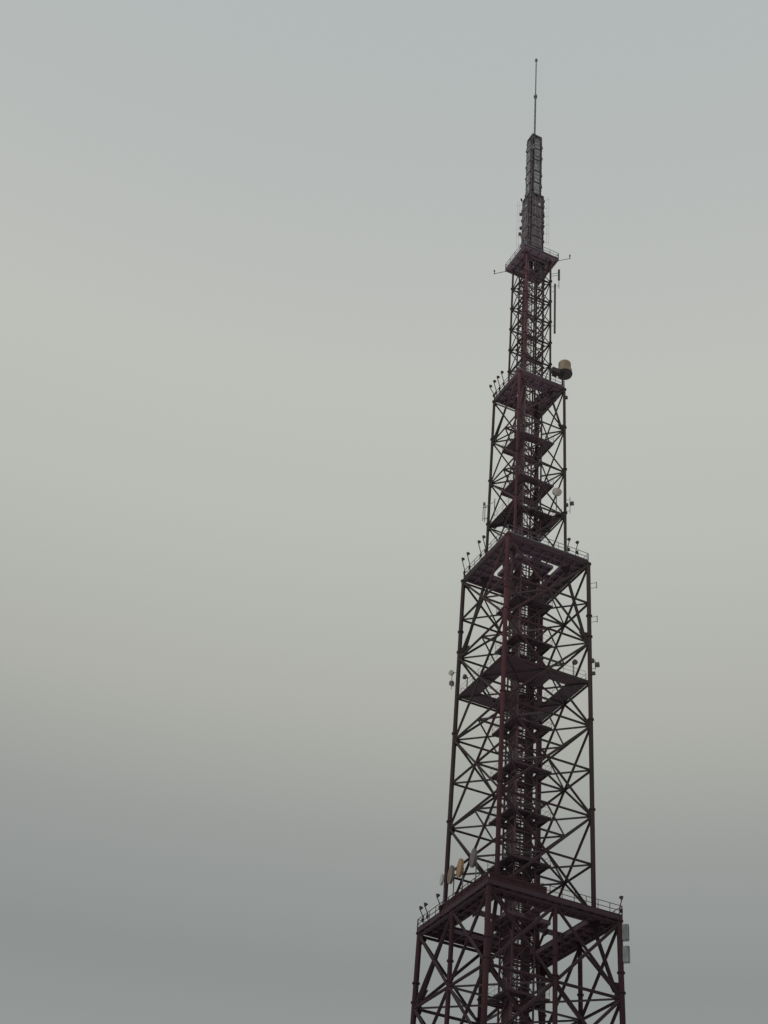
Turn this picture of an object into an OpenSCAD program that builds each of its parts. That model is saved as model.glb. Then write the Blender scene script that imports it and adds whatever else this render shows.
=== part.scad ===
// Free-standing steel radio mast in four stacked lattice sections, as a one to ten model, in millimetres.
// The origin is on the ground, under the middle of the lift shaft, and the faces look along X and Y.

/* [Footings] */
// Side of the square concrete block under each leg
footing_side = 200; // [160:5:240]
// Height of the concrete blocks above the ground
footing_height = 60; // [40:5:90]
// Side of the square concrete block under the lift shaft
shaft_block_side = 380; // [320:5:460]

/* [Base section] */
// Length from the footings to the first platform
base_length = 6120; // [5600:10:6700]
// Distance between corner legs at the foot
base_foot = 1572; // [1500:2:1640]
// Distance between corner legs under the platform
base_head = 1480; // [1420:2:1540]
// Diameter of the corner legs
base_leg_d = 58; // [50:1:66]
// Diameter of the leg in the middle of each face
mid_leg_d = 48; // [42:1:56]
// Diameter of the bracing tubes
base_brace_d = 34; // [28:1:38]
// Number of braced panels
base_panels = 8; // [6:1:9]

/* [Lower section] */
// Length from the first platform to the second
lower_length = 4405; // [4005:10:4805]
// Distance between legs at the foot
lower_foot = 1118; // [1073:1:1163]
// Distance between legs under the platform
lower_head = 1090; // [1043:1:1133]
// Diameter of the legs
lower_leg_d = 50; // [42:1:56]
// Diameter of the bracing tubes
lower_brace_d = 28; // [24:1:32]
// Number of braced panels
lower_panels = 4; // [3:1:5]

/* [Middle section] */
// Length from the second platform to the third
middle_length = 2840; // [2600:10:3100]
// Distance between legs at the foot
middle_foot = 700; // [668:1:738]
// Distance between legs under the platform
middle_head = 672; // [648:1:708]
// Diameter of the legs
middle_leg_d = 36; // [32:1:42]
// Diameter of the bracing tubes
middle_brace_d = 20; // [17:1:24]
// Number of braced panels
middle_panels = 4; // [3:1:5]

/* [Upper section] */
// Length from the third platform to the top platform
upper_length = 2455; // [2225:10:2725]
// Distance between legs at the foot
upper_foot = 405; // [385:1:430]
// Distance between legs under the platform
upper_head = 386; // [370:1:410]
// Diameter of the legs
upper_leg_d = 28; // [24:1:32]
// Diameter of the bracing tubes
upper_brace_d = 13; // [11:1:16]
// Number of braced panels
upper_panels = 6; // [5:1:7]

/* [Legs and joints] */
// Thickness of a leg flange
flange_t = 14; // [10:1:20]
// How far a flange stands out from the leg
flange_lip = 11; // [8:1:15]
// Height of a leg joint above the bracing node below it, as a share of a panel
joint_height = 0.075; // [0.06:0.005:0.1]
// Thickness of the gusset plates
gusset_t = 7; // [5:1:10]
// Reach of a gusset plate, in bracing tube diameters
gusset_reach = 2.4; // [2.2:0.1:2.8]
// Gap left at seats and saddle cuts
seat = 0.3; // [0.2:0.05:0.5]

/* [Platforms] */
// Depth of the edge beams of a platform
deck_depth = 40; // [30:1:55]
// Thickness of the deck plate
deck_t = 6; // [4:1:10]
// Width of the beams under a deck
beam_w = 12; // [8:1:18]
// How far the first platform reaches past the leg centres
base_overhang = 25; // [15:1:35]
// How far the second and third platforms reach past the leg centres
deck_overhang = 4; // [2:1:12]
// How far the top platform reaches past the leg centres
top_overhang = 85; // [60:1:110]
// How far a deck reaches inward past the legs that stand on it
deck_inset = 42; // [38:1:60]
// Distance between beams under a deck
beam_pitch = 150; // [110:5:200]
// Width of the four gangways across a platform
gangway_w = 120; // [90:5:150]

/* [Railings] */
// Height of the railings
railing_height = 110; // [90:1:125]
// Thickness of the railing posts and rails
railing_t = 5; // [4:0.5:8]
// Distance between railing posts
post_pitch = 150; // [110:5:200]
// Height of the toe board
toe_board = 15; // [10:1:22]

/* [Lift shaft] */
// Side of the square lift shaft
shaft_side = 266; // [240:2:280]
// Width of the shaft's corner posts
shaft_post = 16; // [12:1:20]
// Width of the shaft's flat bars
shaft_bar = 11; // [8:1:14]
// Thickness of the shaft's flat bars
shaft_bar_t = 8; // [6:1:11]
// Number of bays in the shaft
shaft_bays = 56; // [50:1:60]

/* [Floors round the shaft] */
// Side of the square landings round the shaft
landing_side = 490; // [440:5:540]
// Depth of a landing with its edge
landing_depth = 20; // [14:1:26]
// Depth of the flat frames that tie the faces to the shaft
frame_t = 18; // [12:1:24]
// Width of the main bars of a flat frame
frame_bar = 20; // [14:1:26]
// Width of the thin ties of a flat frame
tie_bar = 12; // [8:1:16]
// Width of the walkway inside the lower section
walkway_w = 170; // [140:5:200]
// Depth of the walkways with their edges
walkway_depth = 34; // [26:1:42]
// Width of the two walkways inside the middle section
side_walkway_w = 90; // [70:2:100]
// How far the landings in the middle section hang below their frames
landing_drop = 200; // [150:5:230]
// Diameter of the struts below the first platform
base_strut_d = 42; // [34:1:50]
// Diameter of the struts below the second platform
lower_strut_d = 38; // [30:1:44]
// Diameter of the struts below the third platform
middle_strut_d = 28; // [22:1:32]

/* [Antenna column] */
// Length of the wide part of the antenna column
wide_length = 1420; // [1300:10:1560]
// Side of the wide part
wide_side = 216; // [190:2:240]
// Length of the slim part of the antenna column
slim_length = 1400; // [1250:10:1550]
// Side of the slim part
slim_side = 152; // [132:2:172]
// Thickness of the antenna panels
panel_t = 20; // [14:1:28]
// Open gap between antenna panels one above the other
panel_gap = 34; // [24:1:44]
// Open part of the column under its cap plates
open_head = 70; // [50:2:90]
// Width of the hatch frame under the foot of the column
column_seat = 34; // [26:1:44]
// Length of the lower half of the pole, up to its joint
pole_length = 1055; // [900:5:1200]
// Length of the upper half
pole_tip_length = 990; // [850:10:1120]
// Diameter of the lower half of the pole
pole_d = 28; // [22:1:34]
// Diameter of the upper half
pole_tip_d = 18; // [14:1:22]

/* [Lamps] */
// Diameter of the thin tubes that carry lamps and antennas
stalk_d = 8; // [6:1:10]
// Diameter of the mouth of a floodlight
flood_d = 46; // [38:1:54]
// Height of the tall floodlights above the railing
flood_rise = 140; // [110:5:160]
// How far a floodlight hangs out past the railing
flood_reach = 45; // [30:1:60]
// Length of the arms of the obstruction lamps
lamp_arm = 160; // [130:5:190]
// Diameter of the obstruction lamps
lamp_d = 20; // [15:1:26]

/* [Radome and antennas] */
// Diameter of the radome at the corner of the third platform
radome_d = 164; // [140:2:180]
// Height of the radome
radome_height = 127; // [110:1:145]
// Height of the dark drum under the radome
drum_height = 92; // [75:1:105]
// Height of the drum above the platform
drum_rise = 210; // [150:5:230]
// Diameter of the large dish antennas
dish_d = 186; // [160:2:210]
// Depth of their rims
dish_depth = 26; // [18:1:34]
// Height of the posts of the large dishes
dish_post = 410; // [380:10:450]
// Diameter of the small dish antennas
small_dish_d = 56; // [44:2:66]
// Diameter of the thick rod antennas
rod_d = 27; // [20:1:32]
// Length of the long rod antenna
rod_length = 960; // [850:10:1050]
// Height of the flat antennas on the base section's right leg
flat_height = 112; // [90:2:130]
// Height of the sheet screens on the first platform
screen_height = 85; // [70:1:100]

/* [Hidden] */
base = [footing_height, footing_height + base_length, base_foot, base_head];
lower = [base[1] + deck_depth, base[1] + deck_depth + lower_length, lower_foot, lower_head];
middle = [lower[1] + deck_depth, lower[1] + deck_depth + middle_length, middle_foot, middle_head];
upper = [middle[1] + deck_depth, middle[1] + deck_depth + upper_length, upper_foot, upper_head];
column_foot = upper[1] + deck_depth;
wide_top = column_foot + wide_length;
slim_top = wide_top + slim_length;
cap_t = 14;
wide_post = 14;
slim_post = 10;
wide_tiers = 6;
slim_tiers = 5;
base_half = base_head / 2 + base_overhang;
lower_half = lower_head / 2 + deck_overhang;
middle_half = middle_head / 2 + deck_overhang;
upper_half = upper_head / 2 + top_overhang;
corners = [[-1, -1], [1, -1], [1, 1], [-1, 1]];
face_mids = [[0, -1], [1, 0], [0, 1], [-1, 0]];
steel = "#4a3538";
bracing_steel = "#463c3c";
deck_steel = "#42323a";
panel_grey = "#5c5a5a";
radome_tan = "#b3a58d";

// A section is a list: height of its foot, height of its head, side at the foot, side at the head.
function side_at(s, z) = s[2] + (s[3] - s[2]) * (z - s[0]) / (s[1] - s[0]);

// Height of a bracing node: the first and last keep clear of the leg flanges.
function level(s, d, n, i) =
    let (inset = flange_t + d / 2 + 3)
    s[0] + inset + (s[1] - s[0] - 2 * inset) * i / n;

// A point on the front face at bracing level i, with t from -1 at the left leg to 1 at the right leg.
function face_point(s, d, n, i, t) =
    let (z = level(s, d, n, i), h = side_at(s, z) / 2)
    [t * h, -h, z];

// Height at which the two diagonals of a panel cross.
function crossing(s, d, n, i) =
    let (z0 = level(s, d, n, i), z1 = level(s, d, n, i + 1), a = side_at(s, z0), b = side_at(s, z1))
    z0 + (z1 - z0) * a / (a + b);

// A point on the centre line of a leg, where way is its place in plan.
function leg_point(s, way, z) = [way.x * side_at(s, z) / 2, way.y * side_at(s, z) / 2, z];

// A straight bar between two points: a prism with few sides, or a true tube shape with many.
module bar(p, q, d, sides = 6) {
    v = q - p;
    run = norm(v);
    translate(p)
        rotate([0, acos(v.z / run), atan2(v.y, v.x)])
        cylinder(h = run, d = d, $fn = sides);
}

// A leg with its end flanges and a joint just above each bracing node but the first and last.
module leg(s, d, brace_d, n, way, grow = 0) {
    bar(leg_point(s, way, s[0] + flange_t / 2), leg_point(s, way, s[1] - flange_t / 2), d + 2 * grow, 48);
    for (z = [s[0], s[1] - flange_t])
        translate(leg_point(s, way, z) - [0, 0, grow])
        cylinder(h = flange_t + 2 * grow, d = d + 2 * flange_lip + 2 * grow, $fn = 48);
    for (i = [1 : n - 1]) {
        z = level(s, brace_d, n, i) + (joint_height * (s[1] - s[0])) / n;
        bar(
            leg_point(s, way, z - flange_t / 2 - grow),
            leg_point(s, way, z + flange_t / 2 + grow),
            d + 2 * flange_lip + 2 * grow,
            48
        );
    }
}

// A gusset plate in the face, that reaches from a leg to one side.
module gusset(p, reach, up, down, way) {
    translate(p)
        rotate([90, 0, 0])
        translate([0, 0, -gusset_t / 2])
        linear_extrude(gusset_t)
        polygon([
            [0, -down], [way * reach * 0.5, -down], [way * reach, -down * 0.45],
            [way * reach, up * 0.45], [way * reach * 0.5, up], [0, up]
        ]);
}

// The bracing of one face: crossed diagonals, level rails and gussets, saddle cut to the legs.
module face_bracing(s, d, n, leg_d, bays, mid_rails, gussets) {
    reach = gusset_reach * d;
    difference() {
        union() {
            for (i = [0 : n])
                bar(face_point(s, d, n, i, -1), face_point(s, d, n, i, 1), d);
            for (i = [0 : n - 1], j = [0 : bays - 1]) {
                a = -1 + 2 * j / bays;
                b = -1 + 2 * (j + 1) / bays;
                bar(face_point(s, d, n, i, a), face_point(s, d, n, i + 1, b), d);
                bar(face_point(s, d, n, i, b), face_point(s, d, n, i + 1, a), d);
            }
            for (i = [0 : n - 1])
                if (mid_rails) {
                    z = crossing(s, d, n, i);
                    h = side_at(s, z) / 2;
                    bar([-h, -h, z], [h, -h, z], d);
                }
            if (gussets)
                for (i = [0 : n], t = [-1, 1]) {
                    up = i == n ? d / 2 : reach;
                    down = i == 0 ? d / 2 : reach;
                    gusset(face_point(s, d, n, i, t), reach, up, down, -t);
                }
        }
        leg(s, leg_d, d, n, [-1, -1], seat);
        leg(s, leg_d, d, n, [1, -1], seat);
        if (bays == 2)
            leg(s, mid_leg_d, d, n, [0, -1], seat);
    }
}

// A railing with posts, two rails and a toe board on each side of a square deck.
module railing(side, z) {
    run = side - railing_t - 1;
    posts = ceil(run / post_pitch);
    color(steel)
        for (k = [0 : 3])
            rotate([0, 0, 90 * k])
            translate([-side / 2, -side / 2 + railing_t, z])
            rotate([90, 0, 0])
            linear_extrude(railing_t)
            difference() {
                square([run, railing_height]);
                for (i = [0 : posts - 1]) {
                    clear = (run - railing_t) / posts - railing_t;
                    x = railing_t + i * (run - railing_t) / posts;
                    translate([x, toe_board])
                        square([clear, railing_height / 2 - toe_board - railing_t / 2]);
                    translate([x, railing_height / 2 + railing_t / 2])
                        square([clear, railing_height / 2 - railing_t * 1.5]);
                }
            }
}

// Square frame in plan, open in the middle.
module ring(outer, inner) {
    difference() {
        square(outer, center = true);
        square(inner, center = true);
    }
}

// Plan of a deck: a ring, a floor round the shaft and four gangways between them.
module deck_plan(outer, inner, hole) {
    floor_side = min(landing_side, inner);
    ring(outer, inner);
    ring(floor_side, hole);
    for (k = [0 : 3])
        rotate(90 * k)
        translate([-gangway_w / 2, floor_side / 2 - 1])
        square([gangway_w, (inner - floor_side) / 2 + 2]);
}

// Plan of the beams under a deck, along its edges and across it.
module beam_plan(outer, inner, hole) {
    floor_side = min(landing_side, inner);
    n = ceil((outer - beam_w) / beam_pitch);
    pitch = (outer - beam_w) / n;
    ring(outer, outer - 2 * beam_w);
    ring(inner + 2 * beam_w, inner);
    ring(hole + 2 * beam_w, hole);
    if (floor_side < inner)
        ring(floor_side, floor_side - 2 * beam_w);
    intersection() {
        deck_plan(outer, inner, hole);
        for (k = [0, 1], i = [1 : n - 1])
            rotate(90 * k)
            translate([-outer / 2 + i * pitch, -outer / 2])
            square([beam_w * 0.7, outer]);
    }
}

// A platform: a deck plate on a grid of beams, with a hole for the shaft.
module platform(outer, inner, z, hole) {
    color(deck_steel) {
        translate([0, 0, z + deck_depth - deck_t])
            linear_extrude(deck_t)
            deck_plan(outer, inner, hole);
        translate([0, 0, z])
            linear_extrude(deck_depth - deck_t)
            beam_plan(outer, inner, hole);
    }
}

// One side of the lift shaft: a corner post with the bars that reach to the next post.
module shaft_side_panel(k) {
    run = upper[1] - footing_height;
    bay = (run - shaft_bar) / shaft_bays;
    wide = shaft_side - 2 * shaft_post;
    color(bracing_steel)
        rotate([0, 0, 90 * k])
        translate([-shaft_side / 2, -shaft_side / 2, footing_height]) {
            cube([shaft_post, shaft_post, run]);
            translate([shaft_post, shaft_bar_t, 0])
                rotate([90, 0, 0])
                linear_extrude(shaft_bar_t)
                difference() {
                    square([wide, run]);
                    for (i = [0 : shaft_bays - 1])
                        translate([0, i * bay + shaft_bar])
                        bay_openings(wide, bay - shaft_bar, shaft_bar, i % 2);
                }
        }
}

// The two triangles that one diagonal leaves open in a bay.
module bay_openings(w, h, t, flip) {
    cut = t / cos(atan2(w, h)) / 2;
    side_cut = t / sin(atan2(w, h)) / 2;
    translate([flip * w, 0])
        mirror([flip, 0]) {
            polygon([[0, side_cut], [0, h], [w - cut, h]]);
            polygon([[cut, 0], [w, 0], [w, h - side_cut]]);
        }
}

// A flat frame at one level: a diamond between the face middles, four beams and four thin ties.
module plan_frame(s, z, brace_d, leg_d, mid_d) {
    half = side_at(s, z) / 2;
    inside = 2 * half - brace_d - 2 * seat;
    translate([0, 0, z - frame_t / 2])
        linear_extrude(frame_t)
        difference() {
            intersection() {
                square(inside, center = true);
                union()
                    for (k = [0 : 3])
                        rotate(90 * k) {
                            translate([-frame_bar / 2, -half])
                                square([frame_bar, half - shaft_side / 2 - seat]);
                            translate([0, -half])
                                rotate(45)
                                square(1.6 * max(mid_d, brace_d), center = true);
                            translate([0, -half])
                                rotate(45)
                                translate([0, -tie_bar / 2])
                                square([half * sqrt(2), tie_bar]);
                            rotate(-45)
                                translate([shaft_side / sqrt(2) + seat, -tie_bar / 2])
                                square([half * sqrt(2) - shaft_side / sqrt(2), tie_bar]);
                        }
            }
            for (way = corners)
                translate(way * half)
                circle(d = leg_d + 2 * seat, $fn = 48);
            if (mid_d > 0)
                for (way = face_mids)
                    translate(way * half)
                    circle(d = mid_d + 2 * seat, $fn = 48);
            square(shaft_side + 2 * seat, center = true);
        }
}

// A thin frame in the upper section: an outer and an inner square joined by four bars.
module upper_frame(z) {
    outer = side_at(upper, z) - upper_brace_d - 2 * seat;
    inner = shaft_side + 2 * seat;
    translate([0, 0, z - tie_bar / 2])
        linear_extrude(tie_bar)
        difference() {
            union() {
                ring(outer, outer - 2 * tie_bar);
                ring(inner + 2 * tie_bar, inner);
                for (k = [0 : 3])
                    rotate(90 * k)
                    translate([-tie_bar / 2, inner / 2])
                    square([tie_bar, (outer - inner) / 2 - 1]);
            }
            for (way = corners)
                translate(way * side_at(upper, z) / 2)
                circle(d = upper_leg_d + 2 * seat, $fn = 48);
        }
}

// A strut in the plane of a corner, from under a platform out to a leg, with a plate at each end.
module strut(s, leg_d, brace_d, n, head, d, grow = 0) {
    zf = level(s, brace_d, n, n - 1) + 2.2 * d;
    foot = side_at(s, zf) / sqrt(2);
    zh = s[1] - 1.6 * d;
    difference() {
        for (k = [0 : 3])
            rotate([0, 0, 90 * k + 45]) {
                bar([foot - leg_d / 2 - 0.9 * d, 0, zf], [head / sqrt(2), 0, zh], d + 2 * grow, 32);
                translate([0, gusset_t / 2 + grow, 0])
                    rotate([90, 0, 0])
                    linear_extrude(gusset_t + 2 * grow) {
                        polygon([
                            [foot, zf - 1.4 * d], [foot, zf + 1.4 * d],
                            [foot - leg_d / 2 - 2.6 * d, zf + 2.2 * d], [foot - leg_d / 2 - 1.4 * d, zf - 0.6 * d]
                        ]);
                        polygon([
                            [head / sqrt(2) - 1.5 * d, s[1]], [head / sqrt(2) + 1.5 * d, s[1]],
                            [head / sqrt(2) + 1.2 * d, zh - d], [head / sqrt(2) - 0.3 * d, zh - 0.6 * d]
                        ]);
                    }
            }
        for (way = corners)
            leg(s, leg_d, brace_d, n, way, seat);
    }
}

// A square landing round the shaft, with a turned-down edge.
module landing(z, side) {
    translate([0, 0, z + landing_depth - deck_t])
        linear_extrude(deck_t)
        ring(side, shaft_side + 2 * seat);
    translate([0, 0, z])
        linear_extrude(landing_depth - deck_t) {
            ring(side, side - 2 * deck_t);
            ring(shaft_side + 2 * seat + 2 * deck_t, shaft_side + 2 * seat);
        }
}

module footings() {
    color("#8c8a84") {
        for (way = concat(corners, face_mids))
            translate([way.x * base_foot / 2, way.y * base_foot / 2, footing_height / 2])
            cube([footing_side, footing_side, footing_height], center = true);
        translate([0, 0, footing_height / 2])
            cube([shaft_block_side, shaft_block_side, footing_height], center = true);
    }
}

module base_legs() {
    color(steel) {
        for (way = corners)
            leg(base, base_leg_d, base_brace_d, base_panels, way);
        for (way = face_mids)
            leg(base, mid_leg_d, base_brace_d, base_panels, way);
    }
}

module lower_legs() {
    color(steel)
        for (way = corners)
            leg(lower, lower_leg_d, lower_brace_d, lower_panels, way);
}

module middle_legs() {
    color(steel)
        for (way = corners)
            leg(middle, middle_leg_d, middle_brace_d, middle_panels, way);
}

module upper_legs() {
    color(steel)
        for (way = corners)
            leg(upper, upper_leg_d, upper_brace_d, upper_panels, way);
}

// Face 0 is the front, 1 the right, 2 the back and 3 the left.
module base_bracing(k) {
    color(bracing_steel)
        rotate([0, 0, 90 * k])
        face_bracing(base, base_brace_d, base_panels, base_leg_d, 2, false, true);
}

module lower_bracing(k) {
    color(bracing_steel)
        rotate([0, 0, 90 * k])
        face_bracing(lower, lower_brace_d, lower_panels, lower_leg_d, 1, true, true);
}

module middle_bracing(k) {
    color(bracing_steel)
        rotate([0, 0, 90 * k])
        face_bracing(middle, middle_brace_d, middle_panels, middle_leg_d, 1, false, true);
}

module upper_bracing(k) {
    color(bracing_steel)
        rotate([0, 0, 90 * k])
        face_bracing(upper, upper_brace_d, upper_panels, upper_leg_d, 1, false, false);
}

module base_platform() {
    platform(2 * base_half, lower_foot - 2 * deck_inset, base[1], shaft_side + 2 * seat);
}

module lower_platform() {
    platform(2 * lower_half, middle_foot - 2 * deck_inset, lower[1], shaft_side + 2 * seat);
}

module middle_platform() {
    platform(2 * middle_half, upper_foot - 2 * deck_inset, middle[1], shaft_side + 2 * seat);
}

module upper_platform() {
    platform(2 * upper_half, wide_side + 4 * beam_w, upper[1], wide_side - 2 * column_seat);
}

module plan_frames() {
    color(bracing_steel)
        difference() {
            union() {
                for (i = [1 : base_panels - 1])
                    plan_frame(base, level(base, base_brace_d, base_panels, i), base_brace_d, base_leg_d, mid_leg_d);
                for (i = [1 : lower_panels - 1])
                    plan_frame(lower, level(lower, lower_brace_d, lower_panels, i), lower_brace_d, lower_leg_d, 0);
                for (i = [0 : lower_panels - 1])
                    plan_frame(lower, crossing(lower, lower_brace_d, lower_panels, i), lower_brace_d, lower_leg_d, 0);
                for (i = [1 : middle_panels - 1])
                    plan_frame(middle, level(middle, middle_brace_d, middle_panels, i), middle_brace_d, middle_leg_d, 0);
                for (i = [1 : upper_panels - 1])
                    upper_frame(level(upper, upper_brace_d, upper_panels, i));
            }
            strut(lower, lower_leg_d, lower_brace_d, lower_panels, middle_foot, lower_strut_d, seat);
        }
}

module landings() {
    color(deck_steel) {
        for (i = [1 : base_panels - 1])
            landing(level(base, base_brace_d, base_panels, i) + frame_t / 2, landing_side);
        for (i = [1 : lower_panels - 1])
            landing(level(lower, lower_brace_d, lower_panels, i) + frame_t / 2, landing_side);
        for (i = [0 : lower_panels - 1])
            if (i != lower_panels - 2)
                landing(crossing(lower, lower_brace_d, lower_panels, i) + frame_t / 2, landing_side);
        for (i = [1 : middle_panels - 1]) {
            drop = i == 1 ? -frame_t / 2 : landing_drop;
            landing(level(middle, middle_brace_d, middle_panels, i) - drop, landing_side);
        }
        middle_walkways();
    }
}

module lower_walkway() {
    z = crossing(lower, lower_brace_d, lower_panels, lower_panels - 2);
    half = side_at(lower, z) / 2;
    outer = 2 * half - lower_brace_d - 2 * seat;
    near = shaft_side / 2 + seat;
    far = outer / 2 - walkway_w;
    color(deck_steel)
        translate([0, 0, z + frame_t / 2])
        linear_extrude(walkway_depth)
        difference() {
            union() {
                ring(outer, 2 * far);
                for (k = [0, 1])
                    rotate(180 * k)
                    translate([-far - 1, -far - 1])
                    square([far + near + 1, far - near + 1]);
            }
            for (way = corners)
                translate(way * half)
                circle(d = lower_leg_d + 2 * seat, $fn = 48);
        }
}

// Two walkways along the left and right faces of the middle section.
module middle_walkways() {
    z = level(middle, middle_brace_d, middle_panels, 1);
    half = side_at(middle, z) / 2;
    outer = half - middle_brace_d / 2 - seat;
    inner = max(outer - side_walkway_w, landing_side / 2 + 3);
    for (k = [0, 1])
        rotate([0, 0, 180 * k])
        translate([0, 0, z + frame_t / 2])
        linear_extrude(walkway_depth)
        difference() {
            translate([inner, -outer])
                square([outer - inner, 2 * outer]);
            for (way = corners)
                translate(way * half)
                circle(d = middle_leg_d + 2 * flange_lip + 2 * seat, $fn = 48);
        }
}

module struts() {
    color(steel) {
        strut(base, base_leg_d, base_brace_d, base_panels, lower_foot, base_strut_d);
        strut(lower, lower_leg_d, lower_brace_d, lower_panels, middle_foot, lower_strut_d);
        strut(middle, middle_leg_d, middle_brace_d, middle_panels, upper_foot, middle_strut_d);
    }
}

// Height of one bay of a column: each panel spans two bays, and the rest of the column is open under the cap.
function column_bay(run, post, n) = (run - open_head - post) / (2 * n);

// One side of a square antenna column: a corner post, and rungs and diagonals to the next post.
module column_side(side, post, run, n) {
    wide = side - 2 * post;
    bay = column_bay(run, post, n);
    translate([-side / 2, -side / 2, 0]) {
        cube([post, post, run]);
        translate([post, post, 0])
            rotate([90, 0, 0])
            linear_extrude(post)
            difference() {
                square([wide, run]);
                for (i = [0 : 2 * n - 1])
                    translate([0, i * bay + post])
                    bay_openings(wide, bay - post, post * 0.7, i % 2);
                translate([0, 2 * n * bay + post])
                    square([wide, open_head - post]);
            }
    }
}

// Antenna panels stacked up the four sides of a column, each seated on the rungs.
module column_panels(side, post, z, run, n, w) {
    bay = column_bay(run, post, n);
    for (k = [0 : 3], i = [0 : n - 1])
        rotate([0, 0, 90 * k])
        translate([-w / 2, -side / 2 - panel_t - seat, z + 2 * i * bay + (post + panel_gap) / 2])
        cube([w, panel_t, 2 * bay - panel_gap]);
}

module wide_column() {
    color(steel)
        translate([0, 0, column_foot]) {
            for (k = [0 : 3])
                rotate([0, 0, 90 * k])
                column_side(wide_side, wide_post, wide_length - cap_t, wide_tiers);
            translate([0, 0, wide_length - cap_t])
                linear_extrude(cap_t)
                square(wide_side + cap_t, center = true);
        }
}

module wide_panels() {
    color(panel_grey)
        column_panels(wide_side, wide_post, column_foot, wide_length - cap_t, wide_tiers, wide_side * 0.78);
}

module slim_column() {
    color(steel)
        translate([0, 0, wide_top]) {
            for (k = [0 : 3])
                rotate([0, 0, 90 * k])
                column_side(slim_side, slim_post, slim_length - cap_t, slim_tiers);
            translate([0, 0, slim_length - cap_t])
                linear_extrude(cap_t)
                square(slim_side + cap_t, center = true);
        }
}

module slim_panels() {
    color(panel_grey)
        column_panels(slim_side, slim_post, wide_top, slim_length - cap_t, slim_tiers, slim_side * 0.6);
}

// The first platform's railing has sheet screens just inside it, from the near corner along two sides.
module base_railing() {
    edge = base_half - railing_t - seat;
    railing(2 * base_half, lower[0]);
    color(steel)
        translate([0, 0, lower[0]]) {
            translate([-edge, -edge + 12, 0])
                cube([railing_t, base_half * 1.34, screen_height]);
            translate([-edge + 12, -edge, 0])
                cube([base_half * 0.84, railing_t, screen_height]);
        }
}

// A floodlight that looks up: a tube bolted to the outside of the deck's edge, a bent neck and a flared head.
module floodlight(half, z, a, rise, lean = 0) {
    foot = [a, -half - stalk_d / 2 - seat, z - deck_depth / 2];
    knee = [foot.x, foot.y, z + railing_height * 0.7];
    neck = knee + [lean, -flood_reach, railing_height * 0.3 + rise - flood_d * 0.7];
    bar(foot, knee, stalk_d, 16);
    bar(knee - [0, 0, stalk_d], neck + [0, 0, stalk_d / 2], stalk_d * 1.3, 16);
    translate(neck)
        rotate([-18, 0, 0])
        cylinder(h = flood_d * 0.7, d1 = stalk_d * 1.8, d2 = flood_d, $fn = 32);
}

// An obstruction lamp on an arm that is bolted under a corner of the top platform.
module corner_lamp() {
    corner = upper_half * sqrt(2);
    z = upper[1] - stalk_d / 2 - seat;
    bar([corner - 70, 0, z], [corner + lamp_arm, 0, z], stalk_d, 16);
    translate([corner + lamp_arm, 0, z - stalk_d])
        cylinder(h = 60, d = stalk_d * 1.4, $fn = 16);
    translate([corner + lamp_arm, 0, z + 46])
        cylinder(h = lamp_d * 1.4, d = lamp_d, $fn = 32);
}

module lamps() {
    color(steel) {
        for (k = [0 : 3])
            rotate([0, 0, 45 + 90 * k])
            corner_lamp();
        rotate([0, 0, 270]) {
            for (share = [-0.78, -0.5, -0.18])
                floodlight(middle_half, upper[0], share * middle_half, flood_rise);
            floodlight(middle_half, upper[0], -0.97 * middle_half, flood_rise, -flood_reach);
            for (share = [-0.92, -0.68, -0.17, 0.04])
                floodlight(lower_half, middle[0], share * lower_half, flood_rise);
            for (share = [-0.8, -0.66, -0.3])
                floodlight(base_half, lower[0], share * base_half, flood_rise / 2);
        }
        for (share = [0.46, 0.67])
            floodlight(lower_half, middle[0], share * lower_half, flood_rise / 2);
        floodlight(base_half, lower[0], 0.95 * base_half, flood_rise / 2);
    }
}

// The radome sits on a drum that stands on a post in the front right corner of the third platform.
module radome() {
    shoulder = radome_d * 0.12;
    color(radome_tan)
        translate([middle_half, -middle_half, upper[0] + drum_rise + drum_height + seat])
        rotate_extrude($fn = 96) {
            square([radome_d / 2, radome_height - shoulder]);
            square([radome_d / 2 - shoulder, radome_height]);
            translate([radome_d / 2 - shoulder, radome_height - shoulder])
                circle(shoulder, $fn = 48);
        }
}

// The drum, its post, and a box beside it on an arm over the railing.
module radome_drum() {
    post_d = stalk_d * 3;
    inside = middle_half - railing_t - post_d / 2 - 3;
    box = drum_height * 0.7;
    translate([inside, -inside, upper[0]])
        cylinder(h = drum_rise + 5, d = post_d, $fn = 32);
    translate([middle_half, -middle_half, upper[0] + drum_rise])
        cylinder(h = drum_height, d = radome_d * 1.15, $fn = 64);
    translate([inside - radome_d * 0.95, -inside - box * 0.8, upper[0] + drum_rise - box])
        cube([box, box, box]);
    bar(
        [inside - radome_d * 0.95 + box / 2, -inside, upper[0] + drum_rise - box / 2],
        [inside, -inside, upper[0] + drum_rise - box / 2], stalk_d * 1.5, 16
    );
}

// A dish with its shroud and a tube behind it, that faces the way given by turn, on a post from a floor.
module post_dish(place, post, d, depth, turn) {
    translate(place) {
        cylinder(h = post, d = stalk_d * 1.6, $fn = 24);
        translate([0, 0, post])
            rotate([0, 0, turn])
            rotate([0, 90, 0]) {
                translate([0, 0, -stalk_d])
                    cylinder(h = 24 + stalk_d, d = stalk_d * 2.2, $fn = 24);
                translate([0, 0, 20])
                    cylinder(h = depth, d = d, $fn = 64);
            }
    }
}

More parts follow.
